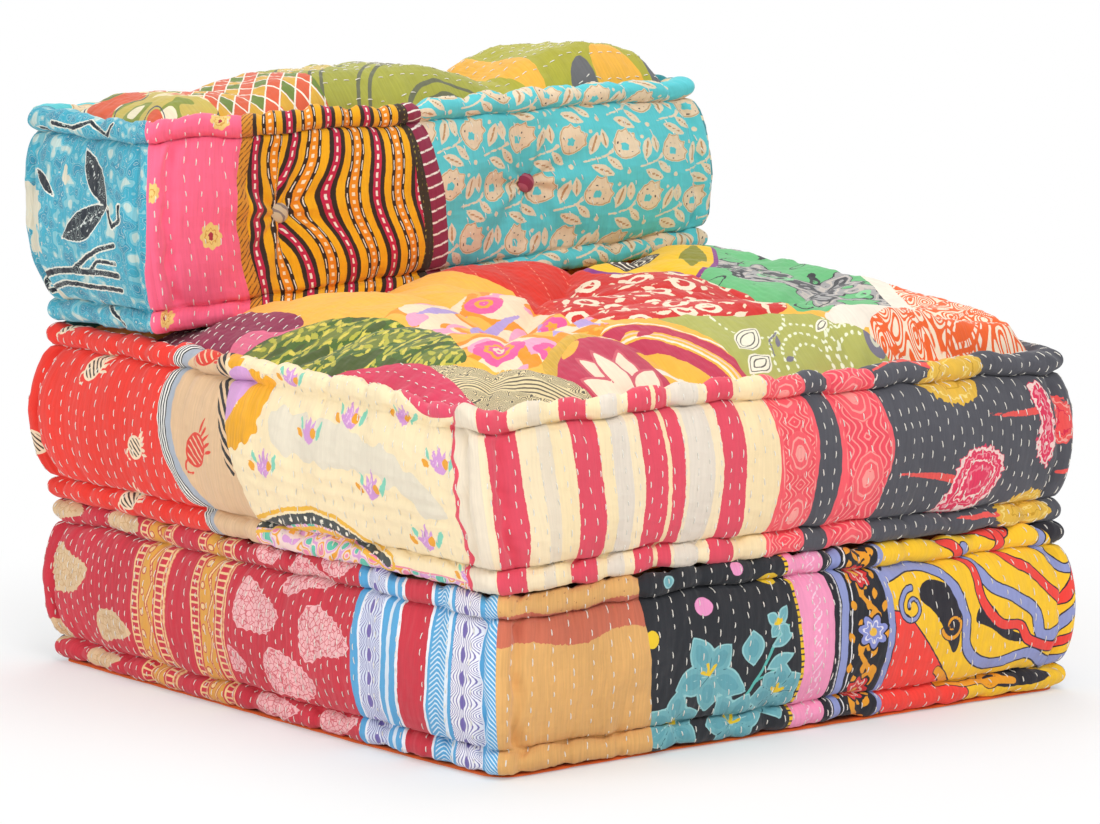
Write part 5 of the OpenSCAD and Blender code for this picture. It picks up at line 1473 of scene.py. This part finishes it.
def poppies(x, y):
    """Block-printed poppies on a slanted net, 6.8 cm by 6.1 cm. Each nods to the right on a stem
    with two pairs of leaves. Returns head, heart, marks round it, leaves and veins."""
    parts = full((5,) + x.shape, 99.0)
    for i, k in np.ndindex(8, 6):
        a, b = x - (6.8 * (i - 4) + 2.6 * (k - 2) + 17.7), y - (12.0 - 1.0 * (i - 4) - 6.1 * (k - 2))
        near = (abs(a) < 6) & (abs(b) < 4)
        a, b = a[near], b[near]
        if not a.size:
            continue
        bearing = np.arctan2(b, a)
        far = clip(cos(bearing - 0.6), 0, 1)
        head = hypot(a / 1.05, b) - 1.55 - 0.7 * far + 0.5 * far * abs(
            sin(5.5 * bearing + i + 2 * k)) - 0.1 * sin(3 * bearing + i + 2 * k)
        heart = hypot(a + 0.1, (b + 0.1) * 1.15) - 0.52 - 0.1 * cos(5 * bearing)
        marks = maximum(abs(hypot(a + 0.1, b + 0.1) - 0.98) - 0.1, 0.3 - cos(7 * bearing))
        leaves = union(leaf(a, b, -4.6, -0.8, -3.2, 1.8, 0.66), leaf(a, b, -2.5, -0.2, -2.5, 2.1, 0.55),
            leaf(a, b, -4.8, -1.9, -1.9, -3.2, 0.6), leaf(a, b, -2.7, -1.0, -0.9, -2.7, 0.5),
            stroke(a, b, [(-1.7, -0.5), (-3.0, -1.05), (-5.4, -1.5)], 0.12),
            stroke(a, b, [(-1.8, -0.2), (-2.5, -0.9)], 0.1), disc(a, b, -0.2, -2.9, 0.3),
            disc(a, b, 2.7, 0.9, 0.24))
        veins = many(stroke, a, b, ([(-4.3, -0.3), (-3.5, 1.3)], 0.12), ([(-2.5, 0.2), (-2.5, 1.6)], 0.1),
            ([(-4.3, -2.15), (-2.5, -2.95)], 0.12), ([(-2.3, -1.4), (-1.3, -2.3)], 0.1))
        parts[:, near] = minimum(parts[:, near], (head, heart, marks, leaves, veins))
    return list(parts)


poppy_layers = [(3, "#E9D9BC"), (4, "#BE9266"), (0, "#EAD4B4"), (0, "#C9A67C", -0.2, -0.08), (1, "#60CDD4"),
    (2, "#3B3640")]
back_front = [
    patch("hot_pink_cotton", "#FF6D8F", ink=lambda x, y: many(bloom, x, y, (-30, 6.6, 1.35, 8, 0, 0.25),
        (-36.9, 11.4, 1, 8, 0.3, 0.25), (-28.8, 18.6, 1.3, 8, 0.3, 0.25), (-36.4, -1.2, 1.3, 8, 0.2, 0.25)),
        layers=[(0, "#F3CE7C"), (0, "#D9A04A", -0.62, -0.5), (0, "#B03344", -0.9)],
        rows=(1.72, 1.5, False, lambda y: 0.3 * sin(y / 3)), mottle=0.1),
    patch("hatched_ochre_cotton", "#DD9330", strip(BACK_WALL, [-26.2, -26.2, -27, -26.1, -26.2]),
        lambda x, y: bars(y - 0.8 * x, 0.62, 0.1), layers=[(0, "#6B4020")]),
    patch("yellow_striped_cotton", "#F5B018", strip(BACK_WALL, [-24.7, -24.8, -25.4, -24.8, -24.6]),
        lambda x, y: (gathered(x, y) + 24.2, -1 + 0 * x, abs(mod(y, 0.95) - 0.47) - 0.28, bars(y, 0.8, 0.18),
        bars(y, 1.6, 0.5)), combs=[(0, 5.1, half, colour, within, start)
        for half, colour, within, start in ((0.92, "#35271F", 1, 0), (0.42, "#C8254A", 1, 0),
        (0.22, "#35271F", 1, 1.95), (0.42, "#F0901E", 1, 2.58), (0.18, "#35271F", 1, 3.18),
        (0.12, "#F6ECE0", 2, 0), (0.15, "#FBE8C2", 3, 2.58), (0.05, "#F6ECE0", 4, 1.95),
        (0.045, "#F6ECE0", 4, 3.22))], ragged=0.03),
    patch("dark_dotted_edging_cotton", "#3E3226", strip(BACK_WALL, [-4, -3.4, -4.2, -4.7, -5.6]),
        lambda x, y: maximum(bars(x * 1.1, 0.62, 0.1), bars(y + x, 0.6, 0.15)), layers=[(0, "#A7963E")]),
    patch("maroon_barred_cotton", "#93304B", strip(BACK_WALL, [-2.9, -2.3, -3.1, -3.7, -4.7]),
        lambda x, y: bars(y - 0.25 * x, 1.3, 0.12), layers=[(0, "#F6EDE2")]),
    patch("turquoise_poppy_cotton", "#60CDD4", strip(BACK_WALL, [-1, -0.3, -1.1, -1.8, -2.7]), poppies,
        layers=poppy_layers, rows=(2.9, 1.5, False, lambda y: -0.35 * y + 2), mottle=0.08, ragged=0.05)]
back_left = [
    patch("teal_branch_cotton", "#45A9C0", ink=lambda x, y: (many(leaf, x, y, (-0.4, 15, 5.4, 9.8, 1.25),
        (-3.6, 6.4, 5.2, 9.9, 1.35), (-8.4, 12.6, -5, 10.2, 0.5), (-9.6, 17, -6.4, 16, 0.45)),
        many(stroke, x, y, ([(-11.4, 0.6), (-9.2, 2.6), (-4, 3.2), (1, 3.5), (6.4, 3.4)], 0.26),
        ([(-10.2, 1), (-4.6, 1.9), (0, 2), (6.4, 1.9)], 0.2), ([(-2.6, 3.3), (0.6, 5), (3.6, 5.8),
        (6.6, 6.4)], 0.2), ([(0.4, 3.5), (2.6, 4.6), (6.4, 4.6)], 0.16),
        ([(5.4, 9.8), (6.4, 8.2), (7.6, 8.8), (7.4, 10.2)], 0.2), ([(-6.2, 17.6), (-2.6, 17.4), (0.2, 18.6),
        (3.6, 17), (4.6, 18.4)], 0.2), ([(0.6, 0.4), (3, -1.2), (5.4, -2.4)], 0.2)),
        many(disc, x, y, (-9.8, 9, 2.4), (-9, 5.8, 1.5), (-8, 0.4, 0.9), (-3, 12.4, 0.6))
        + 0.3 * ripple(x, y, 0.8, 2.5, 3, 6), many(stroke, x, y, ([(0.6, 14.4), (5, 10.2)], 0.06),
        ([(-2.8, 6.8), (4.6, 9.6)], 0.06), ([(-0.4, 6.9), (1.6, 9.2)], 0.05),
        ([(1.4, 7.4), (3.2, 9.7)], 0.05), ([(1.4, 14.4), (2.6, 11.2)], 0.05),
        ([(2.8, 13.4), (3.6, 10.8)], 0.05)), 2 * ripple(x, y * 0.8, 0.9, 5, 81, 12)),
        combs=[(4, 0.9, 0.05, "#C3D2CB", 4)], layers=[(4, "#84C2CC", 0.9, 99), (4, "#3A93AE", -1.3),
        (4, "#C2D6CF", 1.9, 99), (2, "#D8D2BC"), (1, "#E9E6D6", 0, 0.14), (1, "#232A33"),
        (0, "#ECE9DC", 0, 0.14), (0, "#232A33"), (3, "#D9DDD8")], mottle=0.2, ragged=0.06),
    patch("hot_pink_cotton_2", "#FF6D8F", lambda x, y: bowed(y, BACK_WALL, [10.6, 11.3, 11.7, 11.5, 10.8])
        - x, rows=(1.5, 1.5), mottle=0.1)]
back_right = [
    patch("brown_flowered_cotton", "#7A3B2E", ink=lambda x, y: (scatter_of("blossom", (-13, 13, -4, 22), 4.2,
        91, 1.3)(x, y), scatter_of("leaf", (-13, 13, -4, 22), 2.8, 92, 0.8)(x, y)),
        layers=[(1, "#B9A24A"), (0, "#F0CE9B"), (0, "#D9562F", -0.85)], rows=(1.6, 1.5)),
    patch("teal_striped_cotton_2", "#2F8D94", strip(BACK_WALL, [-13, -13, -13], [-5.4, -5, -5.6]),
        lambda x, y: bars(y, 2.4, 0.3), layers=[(0, "#F0DDB4")])]
back_rear = [
    patch("rust_lattice_cotton", "#B8562F", ink=lambda x, y: (union(bars(x + y, 4.2, 0.22),
        bars(x - y, 4.2, 0.22)), scatter_of("blossom", (-40, -10, -4, 22), 4.2, 93, 0.9)(x, y)),
        layers=[(0, "#F1D7A2"), (1, "#7C2B23")], rows=(1.6, 1.5)),
    patch("indigo_flowered_cotton", "#3D4F85", strip(BACK_WALL, [-11, -10.6, -11.2]),
        scatter_of("blossom", (-12, 10, -4, 22), 4.4, 94, 1.4), layers=[(0, "#EAD9C0"),
        (0, "#D9563F", -0.9)], rows=(1.5, 1.5, True)),
    patch("mustard_cotton", "#D9A136", strip(BACK_WALL, [8, 8.4, 7.8]),
        scatter_of("leaf", (7, 26, -4, 22), 2.6, 95, 0.9), layers=[(0, "#8A3F28")], rows=(1.6, 1.5)),
    patch("turquoise_poppy_cotton_2", "#60CDD4", strip(BACK_WALL, [24, 24.4, 23.8]), poppies,
        layers=poppy_layers, rows=(2.9, 1.5))]
for side, (name, patches, tufts) in enumerate((("front", back_front, back_tufts), ("right", back_right, ()),
        ("rear", back_rear, (-0.1225, 0.2075)), ("left", back_left, ()))):
    make_up("back_%s_border" % name, back, border_cloth(back, side, 900 + 20 * side, 0.25, tufts, 0.034),
        patches, 1000 + side)


def back_level(x, y):
    """Height of the back's top: three mounds that rise 20, 35 and 42 mm past the groove, each as
    1 - |u|^3 along the back, with valleys at the tufts. The right one runs out to the cushion's
    end, a third lower."""
    mounds = [rise * clip(1 - abs((x - middle) / half) ** 3, 0, 1) for middle, half, rise in (
        (-0.29, 0.13, 0.02), (-0.06, 0.18, 0.035), (0.285, 0.165, 0.042))]
    mounds[2] = mounds[2] * (1 - 0.35 * ease(x - 0.25, 0.12) ** 2)
    h = 0.222 - 0.022 * (x / 0.745 + 0.5)
    rise = maximum(np.max(mounds, 0), 0.006)
    climb = pillow(x, y, back, 0.06 - 0.044 * ease(x - 0.18, 0.12), 0.05)
    return h - PINCH + (PINCH + rise) * climb ** 0.8


def ribbons(x, y, seed, size):
    """Two smooth uneven fields whose bands make interleaved ribbons, about size cm across."""
    a = ripple(x + 1.6 * sin(y / 1.9), y + 1.4 * sin(x / 2.3), size * 1.7, size * 5, seed, 6)
    return a * 2.0, 2.0 * ripple(y + 1.5 * cos(x / 2.1), x, size * 1.5, size * 5, seed + 1, 6)


back_top = [
    patch("olive_banded_cotton", "#A5A544", ink=lambda x, y: (bars(hypot(x - 3, y + 16), 5.2, 0.9),
        shape(x, y, [(-12, -3), (-11, 5), (-5, 4.6), (-6, -1), (-9, -4)]),
        shape(x, y, [(-3, 2), (2, 4.6), (8, 3), (9, -3), (3, -4), (-2, -2)])),
        layers=[(0, "#6C6E55", -0.5, -0.1), (1, "#D9BE68"), (2, "#9A9676"), (2, "#67685F", -0.9, -0.4)],
        mottle=0.16, rows=(1.9, 1.5, True)),
    patch("olive_swirled_cotton", "#C9B45A", strip(0, [-60] * 3, [-26.6, -25.6, -26]),
        lambda x, y: (*ribbons(x, y, 61, 2.6), bars(x * 0.5 + y, 0.8, 0.12)),
        layers=[(0, "#8A9440", 0.5, 1.3), (0, "#EFE3C2", 1.3, 99), (1, "#D9603F", 1.1, 99),
        (1, "#3C4A63", 0.5, 0.75), (0, "#EBDDB0", -2.4, -1.4), (0, "#D9603F", -2.4)]),
    patch("harlequin_cotton", "#D9603F", strip(0, [-26.6, -25.6, -26], [-12.6, -12.2, -13]),
        lambda x, y: (x + 0.35 * y + 60, x - 0.8 * y + 60, -1 + 0 * x,
        maximum(abs(mod(x + 0.35 * y, 4) - 1) - 1, abs(mod(x - 0.8 * y, 4) - 1) - 1),
        maximum(abs(mod(x + 0.35 * y + 2, 4) - 1) - 1, abs(mod(x - 0.8 * y, 4) - 1) - 1)),
        layers=[(3, "#6E8438"), (4, "#D9A93C")], combs=[(0, 2, 0.11, "#EFE9D8", 2),
        (1, 2, 0.11, "#EFE9D8", 2)]),
    patch("olive_dashed_cotton", "#AFAB3C", strip(0, [10.5, 12, 11]),
        lambda x, y: (union(shape(x, y, [(10, 14), (10.5, 0), (13.5, -4), (16, -12), (18.5, -6), (16, 4),
        (17, 12)]), shape(x, y, [(24, -13), (25.5, -5.6), (30, -4.5), (32, -9), (30, -13)]),
        shape(x, y, [(31, 13), (31.5, 4), (34, -3), (36, -12), (40, -8), (40, 13)])),
        mod(x + 0.4 * y, 2.6) - 1.2, shape(x, y, [(26, 12), (27, 6.6), (29, 12)]),
        union(shape(x, y, [(32, -12), (33.6, -4), (30, 0), (34, 3), (36, -4), (34.6, -12)]),
        shape(x, y, [(20, -13), (21, -8), (25, -6), (24.4, -12)]))), layers=[(0, "#F2B544"), (2, "#E8DFC8"),
        (3, "#6A6A6C")], mottle=0.12, rows=(2.2, 1.4, True, lambda x: 0.6 * sin(x / 4)))]
make_up("back_top_panel", back, top_cloth(back, back_level, (), 0, 1100), back_top,
    1120)

bottom(back, (), 0.017)


def tuft_points(y):
    """The back's tufts, half way up its walls and drawn in with its ends, at a depth y."""
    levels = [(0.0043 + 0.222 - 0.022 * (t / 0.745 + 0.5) - 0.15 * 2 * ROLL) / 2 for t in back_tufts]
    return in_back(array([(t * (1 - 2 * 0.009 * z / (0.745 * 0.222)), y, z)
        for t, z in zip(back_tufts, levels)]))


pale_cover = covered("embroidered_button_cotton", "#CFBB9C", 46.0, "#8D7D78", 6.0)
buttons("back_front_buttons", back, tuft_points(-0.098), (0, -1, 0), 0.034, [pale_cover, maroon_cover],
    (0.0042, 0.0065))
buttons("back_rear_buttons", back, tuft_points(0.098), (0, 1, 0), 0.034, [maroon_cover])
twine(back, tuft_points(-0.0977), tuft_points(0.0977))

# Floor, light and camera
# A white paper sweep under soft boxes. Camera rays see the paper lit through, so that it is white
# away from the object and keeps a faint shadow beside it.


def direct(tree):
    """1 for rays from the camera, also mirrored or through glass, and 0 for those that light."""
    rays = add(tree, "ShaderNodeLightPath")
    seen = rays.outputs["Is Camera Ray"]
    for kind in ("Is Glossy Ray", "Is Transmission Ray"):
        seen = add(tree, "ShaderNodeMath", {0: seen, 1: rays.outputs[kind]}, operation="ADD",
            use_clamp=True).outputs[0]
    return seen


a = linspace(0, 2 * pi, 96, endpoint=False)
rings = array([0.0, 0.3, 0.6, 1.2, 3.0, 9.0])
disc_points = stack([rings[:, None] * cos(a), rings[:, None] * sin(a), 0 * rings[:, None] * a], -1)
index = arange(disc_points[..., 0].size).reshape(len(rings), -1)
ahead = np.roll(index, -1, 1)
paper_mesh = mesh_of("paper", disc_points.reshape(-1, 3), stack([index[:-1], index[1:], ahead[1:],
    ahead[:-1]], -1).reshape(-1, 4))
paper, tree, out = new_material("white_paper")
place = add(tree, "ShaderNodeTexCoord").outputs["Object"]
away = add(tree, "ShaderNodeVectorMath", {0: place}, operation="LENGTH").outputs["Value"]
share = add(tree, "ShaderNodeMapRange", {0: away, 1: 0.45, 2: 1.1, 3: 0.35, 4: 1.0},
    interpolation_type="SMOOTHSTEP").outputs[0]
share = add(tree, "ShaderNodeMath", {0: share, 1: direct(tree)}, operation="MULTIPLY").outputs[0]
glow = add(tree, "ShaderNodeEmission", {0: (1, 1, 1, 1), 1: 1.0}).outputs[0]
matt = add(tree, "ShaderNodeBsdfDiffuse", {0: (0.9, 0.9, 0.9, 1)}).outputs[0]
mixed = add(tree, "ShaderNodeMixShader", {0: share, 1: matt, 2: glow}).outputs[0]
tree.links.new(mixed, out.inputs[0])
paper_mesh.materials.append(paper)
show("floor", paper_mesh)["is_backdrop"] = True

room = bpy.data.worlds.new("room")
bpy.context.scene.world = room
room.use_nodes = True
tree = room.node_tree
tree.nodes.clear()
strength = add(tree, "ShaderNodeMapRange", {0: direct(tree), 3: 0.42, 4: 1.0}).outputs[0]
sky = add(tree, "ShaderNodeBackground", {0: (1, 1, 1, 1), 1: strength}).outputs[0]
add(tree, "ShaderNodeOutputWorld", {0: sky})


def soft_box(name, place, size, power):
    """A square area light that faces the middle of the object."""
    lamp = bpy.data.lights.new(name, "AREA")
    lamp.shape, lamp.size, lamp.energy = "SQUARE", size, power
    light = show(name, lamp)
    light.location = place
    back_of = array(place) - (0, 0, 0.3)
    light.rotation_euler = Vector(back_of).to_track_quat("Z", "Y").to_euler()


soft_box("key", (-1.2, -3.2, 3.0), 2.2, 90)
soft_box("overhead", (0.6, 0.4, 3.6), 2.0, 40)
soft_box("side", (-3.6, 0.4, 1.6), 2.0, 40)
soft_box("rear", (2.4, 3.0, 2.4), 2.4, 40)

turn, lift = np.radians(-37.42), np.radians(6.81)
towards = Vector((sin(turn) * cos(lift), -cos(turn) * cos(lift), sin(lift)))
camera = show("camera", bpy.data.cameras.new("camera"))
camera.data.lens = 126.9
camera.location = Vector((0.02, 0.022, 0.28)) + 4.15 * towards
camera.rotation_euler = towards.to_track_quat("Z", "Y").to_euler()
bpy.context.scene.camera = camera
bpy.context.scene.view_settings.view_transform = "Standard"

array(cad_box).tolist()
array(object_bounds()).tolist()
